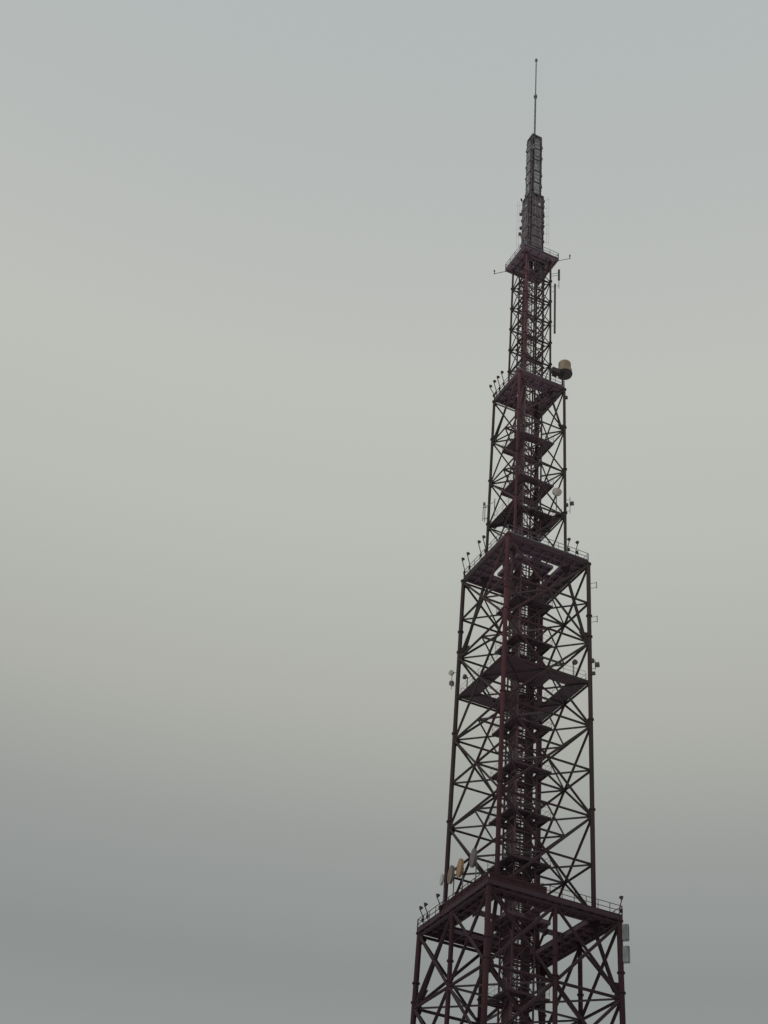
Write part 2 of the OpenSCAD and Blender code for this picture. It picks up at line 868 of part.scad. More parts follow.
// A vertical tube beside a leg, on arms that are clamped to it, from a height above the section's foot.
// X points out of the corner.
module leg_mast(s, leg_d, start, run, out, d, arms = [0.15, 0.85]) {
    x = side_at(s, s[0] + start + run / 2) / sqrt(2) + leg_d / 2 + out;
    translate([x, 0, s[0] + start])
        cylinder(h = run, d = d, $fn = 24);
    for (share = arms) {
        z = s[0] + start + share * run;
        root = side_at(s, z) / sqrt(2) + leg_d / 2 + seat;
        translate([root, 0, z])
            rotate([0, 90, 0])
            cylinder(h = x - root, d = min(d, stalk_d) * 0.7, $fn = 16);
    }
}

// The same with a small dish or drum on the tube, some way up it.
module leg_dish(s, leg_d, start, run, up, out, d, depth, turn) {
    leg_mast(s, leg_d, start, run, out, stalk_d);
    translate([side_at(s, s[0] + start + run / 2) / sqrt(2) + leg_d / 2 + out, 0, s[0] + start + up])
        rotate([0, 0, turn])
        rotate([0, 90, 0])
        cylinder(h = depth, d = d, $fn = 48);
}

module dishes() {
    post_x = -base_half * 0.863;
    floor_x = side_at(lower, lower[1] - 1600) / 2 - 70;
    color(radome_tan) {
        for (share = [-0.4, -0.03, 0.23])
            post_dish([post_x, share * base_half, lower[0]], dish_post, dish_d, dish_depth, 168);
        post_dish([post_x, 0.51 * base_half, lower[0]], dish_post * 1.06, dish_d * 0.6, dish_depth * 0.7, 168);
        post_dish(
            [middle_half * 0.84, -middle_half * 0.7, middle_walkway_top()],
            dish_post * 0.88, small_dish_d * 2, dish_depth, 250
        );
        post_dish([-floor_x, floor_x * 0.93, lower_walkway_top()], 205, small_dish_d, small_dish_d * 0.5, 180);
        post_dish([floor_x * 0.78, -floor_x, lower_walkway_top()], 195, small_dish_d, small_dish_d * 0.5, 270);
        rotate([0, 0, 135]) {
            leg_dish(lower, lower_leg_d, 2880, 260, 212, 50, small_dish_d, small_dish_d * 0.5, 75);
            leg_dish(lower, lower_leg_d, 2880, 260, 90, 50, small_dish_d, small_dish_d * 0.5, -75);
        }
        rotate([0, 0, -45]) {
            leg_dish(lower, lower_leg_d, 2920, 130, 62, 36, small_dish_d, small_dish_d * 0.8, 0);
            leg_dish(middle, middle_leg_d, 760, 251, 148, 44, small_dish_d * 0.9, small_dish_d * 0.8, 0);
        }
    }
}

function middle_walkway_top() =
    level(middle, middle_brace_d, middle_panels, 1) + frame_t / 2 + walkway_depth;

function lower_walkway_top() =
    crossing(lower, lower_brace_d, lower_panels, lower_panels - 2) + frame_t / 2 + walkway_depth;

// A flat antenna on two clamp arms outside a leg of the base section; X points out of the corner.
module flat_antenna(z) {
    reach = base_leg_d / 2 + seat;
    wide = flat_height * 0.36;
    translate([side_at(base, z) / sqrt(2) + reach + 20, -wide / 2, z])
        cube([wide, wide, flat_height]);
    for (share = [0.25, 0.75]) {
        arm_z = z + share * flat_height;
        translate([side_at(base, arm_z) / sqrt(2) + reach, 0, arm_z])
            rotate([0, 90, 0])
            cylinder(h = 26, d = stalk_d, $fn = 16);
    }
}

// Rod and flat antennas beside the legs, and the drum under the radome.
module antennas() {
    color(steel) {
        rotate([0, 0, -45]) {
            leg_mast(upper, upper_leg_d, 1025, rod_length, 49, rod_d);
            leg_mast(upper, upper_leg_d, 1885, 374, 108, stalk_d);
            leg_mast(upper, upper_leg_d, 2055, 204, 108, rod_d * 1.1, [0.5]);
            for (z = [base[1] - 162, base[1] - 386])
                flat_antenna(z);
        }
        rotate([0, 0, 135]) {
            leg_mast(middle, middle_leg_d, 823, 289, 32, stalk_d);
            leg_mast(middle, middle_leg_d, 845, 240, 56, stalk_d);
        }
        radome_drum();
    }
}

module top_pole() {
    joint = slim_top + pole_length;
    knob = 3 * flange_t;
    color(steel) {
        translate([0, 0, slim_top])
            cylinder(h = flange_t, d = 4 * pole_d, $fn = 48);
        translate([0, 0, slim_top])
            cylinder(h = pole_length, d = pole_d, $fn = 48);
        translate([0, 0, joint - flange_t])
            cylinder(h = knob, d = pole_d * 2, $fn = 48);
        translate([0, 0, joint])
            cylinder(h = pole_tip_length - 1, d = pole_tip_d, $fn = 48);
        translate([0, 0, joint + pole_tip_length - knob])
            cylinder(h = knob, d = pole_tip_d * 2.4, $fn = 48);
    }
}

footings();
base_legs();
base_bracing(0);  // base_bracing_front
base_bracing(1);  // base_bracing_right
base_bracing(2);  // base_bracing_back
base_bracing(3);  // base_bracing_left
base_platform();
base_railing();
lower_legs();
lower_bracing(0);  // lower_bracing_front
lower_bracing(1);  // lower_bracing_right
lower_bracing(2);  // lower_bracing_back
lower_bracing(3);  // lower_bracing_left
lower_walkway();
lower_platform();
railing(2 * lower_half, middle[0]);  // lower_railing
middle_legs();
middle_bracing(0);  // middle_bracing_front
middle_bracing(1);  // middle_bracing_right
middle_bracing(2);  // middle_bracing_back
middle_bracing(3);  // middle_bracing_left
middle_platform();
railing(2 * middle_half, upper[0]);  // middle_railing
upper_legs();
upper_bracing(0);  // upper_bracing_front
upper_bracing(1);  // upper_bracing_right
upper_bracing(2);  // upper_bracing_back
upper_bracing(3);  // upper_bracing_left
upper_platform();
railing(2 * upper_half, column_foot);  // upper_railing
shaft_side_panel(0);  // shaft_front
shaft_side_panel(1);  // shaft_right
shaft_side_panel(2);  // shaft_back
shaft_side_panel(3);  // shaft_left
plan_frames();
landings();
struts();
wide_column();
wide_panels();
slim_column();
slim_panels();
top_pole();
lamps();
radome();
dishes();
antennas();
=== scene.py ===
# Radio mast, dressed: every length is in metres of the one to ten model.
import bmesh
import bpy
import math
from mathutils import Matrix, Vector


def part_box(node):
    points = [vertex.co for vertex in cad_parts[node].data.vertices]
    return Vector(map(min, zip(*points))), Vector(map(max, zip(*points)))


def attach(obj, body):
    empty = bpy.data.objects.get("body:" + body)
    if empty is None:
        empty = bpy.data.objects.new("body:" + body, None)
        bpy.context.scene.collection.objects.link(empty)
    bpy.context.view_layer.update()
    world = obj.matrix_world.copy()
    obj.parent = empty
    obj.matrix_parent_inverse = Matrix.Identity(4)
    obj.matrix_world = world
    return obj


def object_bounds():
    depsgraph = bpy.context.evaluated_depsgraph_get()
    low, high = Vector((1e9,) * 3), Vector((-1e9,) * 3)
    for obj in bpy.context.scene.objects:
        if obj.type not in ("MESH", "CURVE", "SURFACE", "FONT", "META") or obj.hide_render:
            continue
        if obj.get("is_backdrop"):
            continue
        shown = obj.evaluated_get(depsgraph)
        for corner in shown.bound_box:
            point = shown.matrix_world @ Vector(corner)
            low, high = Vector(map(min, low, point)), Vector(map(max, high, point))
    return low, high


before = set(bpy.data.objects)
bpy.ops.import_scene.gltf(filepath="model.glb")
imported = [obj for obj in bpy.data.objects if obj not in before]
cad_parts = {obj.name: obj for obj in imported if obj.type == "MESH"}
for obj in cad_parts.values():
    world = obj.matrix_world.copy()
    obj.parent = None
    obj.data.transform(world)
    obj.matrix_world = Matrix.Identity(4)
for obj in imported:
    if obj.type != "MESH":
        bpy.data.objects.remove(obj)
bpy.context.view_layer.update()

# Footings. Blocks of concrete cast in boarded forms, one under each leg and one under the lift shaft. The
# boards have left their lines and a slightly different tone each, rust runs down from the leg bases, and the
# foot of each block is damp and green where it stands in the ground.


def put(tree, kind, inputs=None, output=0, **settings):
    """Adds a node, with each input a plain value or another node's output, and gives one of its outputs."""
    made = tree.nodes.new(kind)
    for name, value in settings.items():
        setattr(made, name, value)
    for name, value in (inputs or {}).items():
        if isinstance(value, Value):
            tree.links.new(value.socket, made.inputs[name])
        else:
            made.inputs[name].default_value = value
    return Value(tree, made.outputs[output])


class Value:
    """An output of a node. Arithmetic on it adds the nodes that work the result out."""

    def __init__(self, tree, socket):
        self.tree = tree
        self.socket = socket

    def step(self, operation, other=0.0):
        """One step of arithmetic."""
        return put(self.tree, "ShaderNodeMath", {0: self, 1: other}, operation=operation)

    def __add__(self, other):
        return self.step("ADD", other)

    def __sub__(self, other):
        return self.step("SUBTRACT", other)

    def __mul__(self, other):
        return self.step("MULTIPLY", other)

    def __truediv__(self, other):
        return self.step("DIVIDE", other)

    def __abs__(self):
        return self.step("ABSOLUTE")

    def between(self, low, high, start=0.0, end=1.0):
        """The value brought from low..high to start..end, and kept inside."""
        values = {"Value": self, "From Min": low, "From Max": high, "To Min": start, "To Max": end}
        return put(self.tree, "ShaderNodeMapRange", values, "Result")

    def mix(self, a, b):
        """The first colour where the value is 0, the second where it is 1."""
        return put(self.tree, "ShaderNodeMix", {0: self, 6: a, 7: b}, 2, data_type="RGBA")

    def split(self):
        """The three numbers of a place or a direction."""
        made = put(self.tree, "ShaderNodeSeparateXYZ", {0: self}).socket.node
        return [Value(self.tree, socket) for socket in made.outputs]

    def noise(self, scale, detail, roughness, stretch=(1, 1, 1)):
        """Cloudy noise at a place, stretched where a stain runs one way."""
        moved = put(self.tree, "ShaderNodeMapping", {"Vector": self, "Scale": stretch})
        values = {"Vector": moved, "Scale": scale, "Detail": detail, "Roughness": roughness}
        return put(self.tree, "ShaderNodeTexNoise", values)


def new_group(kind, name, inputs):
    """An empty node group with a socket for each input, and those inputs as values."""
    tree = bpy.data.node_groups.new(name, kind)
    for label, socket in inputs.items():
        tree.interface.new_socket(label, in_out="INPUT", socket_type="NodeSocket" + socket)
    sockets = tree.nodes.new("NodeGroupInput").outputs
    return tree, {label: Value(tree, sockets[label]) for label in inputs}


def close_group(tree, outputs):
    """Gives a node group its outputs, each with its kind of socket and its value."""
    for label, (socket, _) in outputs.items():
        tree.interface.new_socket(label, in_out="OUTPUT", socket_type="NodeSocket" + socket)
    ends = tree.nodes.new("NodeGroupOutput").inputs
    for label, (_, value) in outputs.items():
        tree.links.new(value.socket, ends[label])


def new_look(name, colours, numbers=()):
    """An empty group for the look of a surface, its inputs, and the place on the surface."""
    inputs = {**dict.fromkeys(colours, "Color"), **dict.fromkeys(numbers, "Float")}
    tree, given = new_group("ShaderNodeTree", name, inputs)
    return tree, given, put(tree, "ShaderNodeTexCoord", output="Object")


def close_look(tree, colour, rough, relief):
    """Ends the group for a look, which gives a colour, a roughness and a relief."""
    ends = {"Color": ("Color", colour), "Roughness": ("Float", rough), "Height": ("Float", relief)}
    close_group(tree, ends)


def finish_material(name, look, bump, depth, metallic=0.0, gloss=0.12, **values):
    """A material whose colour, roughness and relief come from a look, set to its own colours and numbers."""
    made = bpy.data.materials.new(name)
    made.use_nodes = True
    tree = made.node_tree
    group = tree.nodes.new("ShaderNodeGroup")
    group.node_tree = look
    for label, value in values.items():
        group.inputs[label].default_value = (*value, 1) if isinstance(value, tuple) else value
    height = Value(tree, group.outputs["Height"])
    relief = put(tree, "ShaderNodeBump", {"Strength": bump, "Distance": depth, "Height": height})
    surface = tree.nodes["Principled BSDF"].inputs
    surface["Metallic"].default_value = metallic
    surface["Specular IOR Level"].default_value = gloss
    tree.links.new(group.outputs["Color"], surface["Base Color"])
    tree.links.new(group.outputs["Roughness"], surface["Roughness"])
    tree.links.new(relief.socket, surface["Normal"])
    return made


def dress(material, *names):
    """Gives CAD nodes their material."""
    for name in names:
        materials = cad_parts[name].data.materials
        materials.clear()
        materials.append(material)


board_height = 0.012
tree, given, place = new_look("boarded_concrete", ("Pale", "Dark", "Rust", "Damp"))
x, y, z = place.split()
board = (z / board_height).step("FLOOR")
tone = put(tree, "ShaderNodeTexWhiteNoise", {"W": board}, "Value", noise_dimensions="1D")
seam = abs((z / board_height).step("FRACT") - 0.5)
joint = seam.between(0.46, 0.5)
cloud = place.noise(9.0, 8.0, 0.62)
pores = place.noise(240.0, 3.0, 0.5)
runs = place.noise(1.0, 5.0, 0.6, (60, 60, 4))
foot = (z + cloud * 0.02).between(0.012, 0.036, 1.0, 0.0)
shade = tone * 0.35 + cloud * 0.75
colour = shade.between(0.2, 0.95).mix(given["Dark"], given["Pale"])
colour = (joint * 0.5).mix(colour, given["Dark"])
colour = runs.between(0.56, 0.7, 0.0, 0.55).mix(colour, given["Rust"])
colour = (foot * 0.7).mix(colour, given["Damp"])
close_look(tree, colour, cloud.between(0.3, 0.7, 0.72, 0.95), pores * 0.5 - joint * 0.8)
concrete = finish_material(
    "concrete", tree, bump=0.5, depth=0.0015,
    Pale=(0.36, 0.345, 0.315), Dark=(0.20, 0.192, 0.175),
    Rust=(0.19, 0.095, 0.045), Damp=(0.085, 0.09, 0.06),
)
dress(concrete, "footings")

# Legs. Steel tubes bolted together through flanges, painted dark red oxide long ago. The paint has chalked
# in patches and runs, and it is painted paler the higher it stands, as painted light for the haze. Each
# length has its own tone, and dirt and rust run down. Each joint has a ring of bolts. The two lower
# sections have one more joint near their heads, above a short length.


def bake(name, tree, mesh, slot, **values):
    """Runs a Geometry Nodes tree on a mesh of points or lines and keeps the result as a plain mesh."""
    piece = bpy.data.objects.new(name, mesh)
    bpy.context.scene.collection.objects.link(piece)
    modifier = piece.modifiers.new("grow", "NODES")
    modifier.node_group = tree
    for item in tree.interface.items_tree:
        if item.in_out == "INPUT" and item.name in values:
            modifier[item.identifier] = values[item.name]
    graph = bpy.context.evaluated_depsgraph_get()
    baked = bpy.data.meshes.new_from_object(piece.evaluated_get(graph), depsgraph=graph)
    piece.modifiers.clear()
    piece.data = baked
    bpy.data.meshes.remove(mesh)
    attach(piece, "root")


def points(name, places, **columns):
    """A mesh of loose points, with a column of numbers or of directions for each given name."""
    mesh = bpy.data.meshes.new(name)
    mesh.from_pydata([tuple(p) for p in places], [], [])
    for label, values in columns.items():
        if isinstance(values[0], (int, float)):
            mesh.attributes.new(label, "FLOAT", "POINT").data.foreach_set("value", values)
        else:
            flat = [number for value in values for number in value]
            mesh.attributes.new(label, "FLOAT_VECTOR", "POINT").data.foreach_set("vector", flat)
    return mesh


def new_grower(name, **inputs):
    """An empty Geometry Nodes tree with these sizes and a material as its inputs."""
    return new_group("GeometryNodeTree", name, {"Geometry": "Geometry", **inputs, "Material": "Material"})


def close_grower(tree, given, grown):
    """Ends a Geometry Nodes tree in plain geometry in the given material."""
    grown = put(tree, "GeometryNodeRealizeInstances", {"Geometry": grown})
    grown = put(tree, "GeometryNodeSetMaterial", {"Geometry": grown, "Material": given["Material"]})
    close_group(tree, {"Geometry": ("Geometry", grown)})
    return tree


def joined(tree, *parts):
    """Several geometries as one."""
    made = tree.nodes.new("GeometryNodeJoinGeometry")
    for part in parts:
        tree.links.new(part.socket, made.inputs[0])
    return Value(tree, made.outputs[0])


# Grey for the quarters of the mast round the left and right legs.
side_quarters_grey = (0.028, 0.025, 0.022, 1)
dirt_colour = (0.012, 0.011, 0.011, 1)
# Colour and middle height of the painted shade low on the mast.
low_shade_colour = (0.016, 0.010, 0.012, 1)
low_shade_height = 5.6
colours = ("Paint", "Chalk", "Rust", "Dust")
tree, given, place = new_look("weathered_paint", colours, ("Rusting", "Length"))
x, y, z = place.split()
clouds = place.noise(1.7, 5.0, 0.6)
runs = place.noise(1.0, 6.0, 0.62, (46, 46, 1.9))
grain = place.noise(170.0, 5.0, 0.65)
blotch = place.noise(13.0, 9.0, 0.7)
tube = {0: x.step("SIGN"), 1: y.step("SIGN") * 2.0, 2: (z / given["Length"]).step("FLOOR")}
tube = put(tree, "ShaderNodeCombineXYZ", tube)
tone = put(tree, "ShaderNodeTexWhiteNoise", {"Vector": tube}, "Value", noise_dimensions="3D")
facing = put(tree, "ShaderNodeNewGeometry", output="Normal").split()[2]
chalk_and_haze = clouds.between(0.36, 0.68, 0.0, 0.25) + runs.between(0.5, 0.76, 0.0, 0.2)
# Paler with height: painted light for the haze, not chalking of the paint.
chalk_and_haze = chalk_and_haze + z.between(4.5, 16.0, 0.0, 0.75)
colour = chalk_and_haze.between(0.0, 1.0).mix(given["Paint"], given["Chalk"])
darker = {0: 1.0, 6: colour, 7: (0.72, 0.70, 0.72, 1)}
darker = put(tree, "ShaderNodeMix", darker, 2, data_type="RGBA", blend_type="MULTIPLY")
colour = tone.mix(darker, colour)
# Above 5.5 m the quarters round the left and right legs, at (-1, 1) and (1, -1), turn greyer.
side_quarters_greying = (x * y).between(-0.03, 0.03, 0.8, 0.0) * z.between(5.5, 8.0)
colour = side_quarters_greying.mix(colour, side_quarters_grey)
colour = (runs - facing * 0.12).between(0.5, 0.7, 0.0, 0.45).mix(colour, dirt_colour)
rust = (blotch + given["Rusting"]).between(0.66, 0.74)
colour = rust.mix(colour, given["Rust"])
# Painted shade: darker in a band round 5.6 m, low on the mast, standing in for the dimmer light there.
colour = abs(z - low_shade_height).between(0.7, 3.2, 0.45, 0.0).mix(colour, low_shade_colour)
dusty = facing.between(0.45, 0.95) * grain.between(0.3, 0.7, 0.25, 0.8)
colour = dusty.mix(colour, given["Dust"])
rough = grain.between(0.3, 0.7, 0.5, 0.72) + rust * 0.2
close_look(tree, colour, rough, grain * 0.4 + rust * (blotch + 0.1))
weathered_paint = tree
leg_paint = finish_material(
    "leg_paint", weathered_paint, gloss=0.05, bump=0.35, depth=0.001, Rusting=0.04, Length=0.55,
    Paint=(0.0240, 0.0070, 0.0080), Chalk=(0.088, 0.039, 0.045),
    Rust=(0.066, 0.020, 0.011), Dust=(0.10, 0.088, 0.082),
)
bolt_paint = finish_material(
    "bolt_paint", weathered_paint, bump=0.2, depth=0.0005, Rusting=0.12, Length=0.05,
    Paint=(0.026, 0.017, 0.016), Chalk=(0.06, 0.048, 0.045),
    Rust=(0.07, 0.028, 0.014), Dust=(0.10, 0.088, 0.082),
)
dress(leg_paint, "base_legs", "lower_legs", "middle_legs", "upper_legs")

flange_thickness, flange_lip, bolt_out = 0.014, 0.011, 0.0004
middle_leg, brace_gap = 0.048, 0.003
leg_sections = {
    "base": dict(foot_side=1.572, head_side=1.480, leg=0.058, brace=0.034, panels=8, bolts=14, nut=0.0026),
    "lower": dict(foot_side=1.118, head_side=1.090, leg=0.050, brace=0.028, panels=4, bolts=12, nut=0.0026),
    "middle": dict(foot_side=0.700, head_side=0.672, leg=0.036, brace=0.020, panels=4, bolts=10, nut=0.0026),
    "upper": dict(foot_side=0.405, head_side=0.386, leg=0.028, brace=0.013, panels=6, bolts=8, nut=0.0021),
}
for title, s in leg_sections.items():
    s["foot"], s["head"] = [round(corner.z, 5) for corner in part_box(title + "_legs")]


def half_at(s, z):
    """Half the distance between two legs of a section at a height."""
    share = (z - s["foot"]) / (s["head"] - s["foot"])
    return (s["foot_side"] + (s["head_side"] - s["foot_side"]) * share) / 2


def level(s, i):
    """Height of a bracing node of a section, where i may fall between two nodes."""
    inset = flange_thickness + s["brace"] / 2 + brace_gap
    return s["foot"] + inset + (s["head"] - s["foot"] - 2 * inset) * i / s["panels"]


def leg_joint(s, i, share):
    """Height of a joint, a share of a panel above a bracing node."""
    return level(s, i) + share * (s["head"] - s["foot"]) / s["panels"]


def leg_point(s, way, z):
    """A point on the line of a leg."""
    return (way[0] * half_at(s, z), way[1] * half_at(s, z), z)


tree, given = new_grower("bolt_rings", Bolts="Int", Nut="Float")
radius = put(tree, "GeometryNodeInputNamedAttribute", {"Name": "ring"}, data_type="FLOAT")
circle = put(tree, "GeometryNodeMeshCircle", {"Vertices": given["Bolts"], "Radius": 1.0})
wide = put(tree, "ShaderNodeCombineXYZ", {0: radius, 1: radius, 2: 1.0})
seats = put(tree, "GeometryNodeMeshToPoints", {"Mesh": given["Geometry"]})
rings = put(tree, "GeometryNodeInstanceOnPoints", {"Points": seats, "Instance": circle, "Scale": wide})
rings = put(tree, "GeometryNodeRealizeInstances", {"Geometry": rings})
nut = {"Vertices": 6, "Radius": given["Nut"], "Depth": given["Nut"] * 1.1}
nut = put(tree, "GeometryNodeMeshCylinder", nut, "Mesh")
shank = {"Vertices": 5, "Radius": given["Nut"] * 0.5, "Depth": given["Nut"] * 1.9}
shank = put(tree, "GeometryNodeMeshCylinder", shank, "Mesh")
bolt = joined(tree, nut, shank)
grown = put(tree, "GeometryNodeInstanceOnPoints", {"Points": rings, "Instance": bolt})
bolt_rings = close_grower(tree, given, grown)

plain_share, top_share = 0.075, 0.335
corner_ways = [(-1, -1), (-1, 1), (1, -1), (1, 1)]
middle_ways = [(0, -1), (1, 0), (0, 1), (-1, 0)]
stands = {}
for title, s in leg_sections.items():
    stands[title] = [(way, s["leg"]) for way in corner_ways]
    if title == "base":
        stands[title] += [(way, middle_leg) for way in middle_ways]
    nut_rise = s["nut"] * 0.55
    joints = [leg_joint(s, i, plain_share) for i in range(1, s["panels"])]
    if title in ("base", "lower"):
        joints.append(leg_joint(s, s["panels"] - 1, top_share))
    seats, radii = [], []
    for way, tube in stands[title]:
        rings = [s["foot"] + flange_thickness + nut_rise, s["head"] - flange_thickness - nut_rise]
        for joint in joints:
            rings += [joint - flange_thickness / 2 - nut_rise, joint + flange_thickness / 2 + nut_rise]
        seats += [leg_point(s, way, z) for z in rings]
        radii += [tube / 2 + flange_lip / 2 + bolt_out] * len(rings)
    mesh = points(title + "_seats", seats, ring=radii)
    sizes = {"Bolts": s["bolts"], "Nut": s["nut"], "Material": bolt_paint}
    bake(title + "_flange_bolts", bolt_rings, mesh, "leg_paint", **sizes)

tree, given = new_grower("tubes_along_lines", Radius="Float", Sides="Int")
thick = put(tree, "GeometryNodeInputNamedAttribute", {"Name": "thick"}, data_type="FLOAT")
radius = thick * given["Radius"]
path = put(tree, "GeometryNodeMeshToCurve", {"Mesh": given["Geometry"]})
path = put(tree, "GeometryNodeSetCurveRadius", {"Curve": path, "Radius": radius})
profile = {"Resolution": given["Sides"], "Radius": 1.0}
profile = put(tree, "GeometryNodeCurvePrimitiveCircle", profile, mode="RADIUS")
swept = put(tree, "GeometryNodeCurveToMesh", {"Curve": path, "Profile Curve": profile, "Fill Caps": True})
# Where the sweep has an input of its own for the thickness, the curve's radius isn't used.
scale = swept.socket.node.inputs.get("Scale")
if scale:
    tree.links.new(radius.socket, scale)
flat = put(tree, "GeometryNodeSetShadeSmooth", {"Geometry": swept, "Shade Smooth": False})
tubes_along_lines = close_grower(tree, given, flat)


def lines(name, runs):
    """A mesh of lines from lists of points; each list may start with its own thickness factor."""
    places, edges, thick = [], [], []
    for run in runs:
        factor = 1.0
        if isinstance(run[0], (int, float)):
            factor, run = run[0], run[1:]
        start = len(places)
        places += [tuple(p) for p in run]
        thick += [float(factor)] * len(run)
        edges += [(start + i, start + i + 1) for i in range(len(run) - 1)]
    mesh = bpy.data.meshes.new(name)
    mesh.from_pydata(places, edges, [])
    mesh.attributes.new("thick", "FLOAT", "POINT").data.foreach_set("value", thick)
    return mesh


def tubes(name, runs, material, slot, radius, sides):
    """Tubes along lines, as one piece."""
    mesh = lines(name + "_lines", runs)
    bake(name, tubes_along_lines, mesh, slot, Radius=radius, Sides=sides, Material=material)


parting = 0.0004
flanges = []
for title in ("base", "lower"):
    s = leg_sections[title]
    joint = leg_joint(s, s["panels"] - 1, top_share)
    for way, tube in stands[title]:
        for low, high in ((-flange_thickness / 2, -parting), (parting, flange_thickness / 2)):
            ends = [leg_point(s, way, joint + low), leg_point(s, way, joint + high)]
            flanges.append([tube / 2 + flange_lip] + ends)
tubes("top_flanges", flanges, leg_paint, "leg_paint", radius=1.0, sides=32)

# Face bracing. Round tubes that cross in each panel, with level tubes at the nodes, welded up off the mast
# and bolted to the legs through gusset plates in the plane of the face. The old paint is a little browner
# than on the legs, and each gusset plate has bolts above and below the level tube, on both its faces.

bracing_paint = finish_material(
    "bracing_paint", weathered_paint, gloss=0.05, bump=0.3, depth=0.001, Rusting=0.05, Length=0.75,
    Paint=(0.0150, 0.0062, 0.0076), Chalk=(0.080, 0.044, 0.049),
    Rust=(0.060, 0.022, 0.012), Dust=(0.09, 0.08, 0.076),
)
faces = ("front", "right", "back", "left")
for title in leg_sections:
    dress(bracing_paint, *[title + "_bracing_" + face for face in faces])


def turned(x, y, z, quarter):
    """A point of the front face brought to another face, counted as in faces."""
    for _ in range(quarter):
        x, y = -y, x
    return (x, y, z)


tree, given = new_grower("pegs_on_points", Sides="Int", Radius="Float", Depth="Float")
facing = put(tree, "GeometryNodeInputNamedAttribute", {"Name": "facing"}, data_type="FLOAT_VECTOR")
aimed = put(tree, "FunctionNodeAlignRotationToVector", {"Vector": facing}, axis="Z")
sizes = {"Vertices": given["Sides"], "Radius": given["Radius"], "Depth": given["Depth"]}
peg = put(tree, "GeometryNodeMeshCylinder", sizes, "Mesh")
seats = put(tree, "GeometryNodeMeshToPoints", {"Mesh": given["Geometry"]})
grown = put(tree, "GeometryNodeInstanceOnPoints", {"Points": seats, "Instance": peg, "Rotation": aimed})
pegs_on_points = close_grower(tree, given, grown)


def pegs(name, seats, facings, material, slot, radius, depth, sides):
    """Bolt heads, screws or glasses on points, each turned to its facing, as one piece."""
    mesh = points(name + "_seats", seats, facing=facings)
    bake(name, pegs_on_points, mesh, slot, Sides=sides, Radius=radius, Depth=depth, Material=material)


plate_thickness, bolt_seat = 0.007, 0.0012
bolt_spots = ((2.03, 0.8), (1.15, 2.13))
seats, facings = [], []
for title in ("base", "lower", "middle"):
    s = leg_sections[title]
    d = s["brace"]
    for i in range(s["panels"] + 1):
        z = level(s, i)
        h = half_at(s, z)
        for along, above in bolt_spots:
            for side in (-1, 1):
                for rise in (-above * d, above * d):
                    if (i == 0 and rise < 0) or (i == s["panels"] and rise > 0):
                        continue
                    for quarter in range(4):
                        for out in (-1, 1):
                            y = -h - out * (plate_thickness / 2 + bolt_seat)
                            seats.append(turned(side * (h - along * d), y, z + rise, quarter))
                            facings.append(turned(0, -out, 0, quarter))
pegs("gusset_bolts", seats, facings, bolt_paint, "bracing_paint", radius=0.0024, depth=0.0031, sides=6)

# Platforms. Plates on a grid of welded beams, hung round the mast where one section gives way to the next.
# From below they are dark with old paint, soot and rust. Their undersides and the inner faces of the beams
# are painted a paler dull mauve, more so on the higher decks, as painted light for the shade under the
# decks and the haze, and the outer edges are painted darker as painted shade. From above the plates are
# paler with dust and have a raised tread pattern.

tread_pitch, sheet_pitch = 0.006, 0.15
tree, given, place = new_look("deck_wear", ("Paint", "Worn", "Bleached", "Rust", "Soot", "Dust"))
x, y, z = place.split()
normal = put(tree, "ShaderNodeNewGeometry", output="Normal")
facing = normal.split()[2]
level_face = abs(facing).between(0.6, 0.9)
tread = (x + y).step("PINGPONG", tread_pitch) * (x - y).step("PINGPONG", tread_pitch)
tread = tread.between(0.00001, 0.000022)
seams = [way.step("PINGPONG", sheet_pitch).between(0.148, 0.1495) for way in (x, y)]
sheet = seams[0].step("MAXIMUM", seams[1])
clouds = place.noise(5.0, 6.0, 0.62)
blotch = place.noise(16.0, 9.0, 0.72)
grain = place.noise(190.0, 4.0, 0.6)
runs = place.noise(1.0, 5.0, 0.6, (40, 40, 8))
from_axis = put(tree, "ShaderNodeVectorMath", {0: normal, 1: place}, "Value", operation="DOT_PRODUCT")
outer = from_axis - z.between(6.2, 16.0, 0.62, 0.23)
upright = abs(facing).between(0.2, 0.6, 1.0, 0.0)
# Painted light: undersides and inner beam faces made paler, more so higher up, for the shade under the decks
# and the haze.
beams = upright * outer.between(-0.02, 0.02, 0.9, 0.1) * z.between(3.0, 16.0)
under = facing.between(-0.7, -0.3, 0.9, 0.0) * z.between(5.5, 16.0)
under = under.step("MAXIMUM", beams)
# Painted shade: the outer faces of the deck edges, which catch the most light, are darkened with the soot
# colour, less so higher up.
rim = upright * outer.between(-0.02, 0.02) * z.between(6.0, 16.0, 0.7, 0.5)
colour = clouds.between(0.35, 0.7).mix(given["Paint"], given["Worn"])
colour = (under * clouds.between(0.3, 0.7, 0.75, 1.0)).mix(colour, given["Bleached"])
colour = runs.between(0.5, 0.75, 0.0, 0.6).mix(colour, given["Soot"])
colour = (sheet * (level_face * 0.6)).mix(colour, given["Soot"])
colour = rim.mix(colour, given["Soot"])
colour = blotch.between(0.6, 0.7).mix(colour, given["Rust"])
dusty = facing.between(0.5, 0.9) * clouds.between(0.3, 0.7, 0.35, 0.9)
colour = dusty.mix(colour, given["Dust"])
close_look(tree, colour, grain.between(0.3, 0.7, 0.6, 0.85), tread * level_face * 0.5 + grain * 0.3)
deck_wear = tree
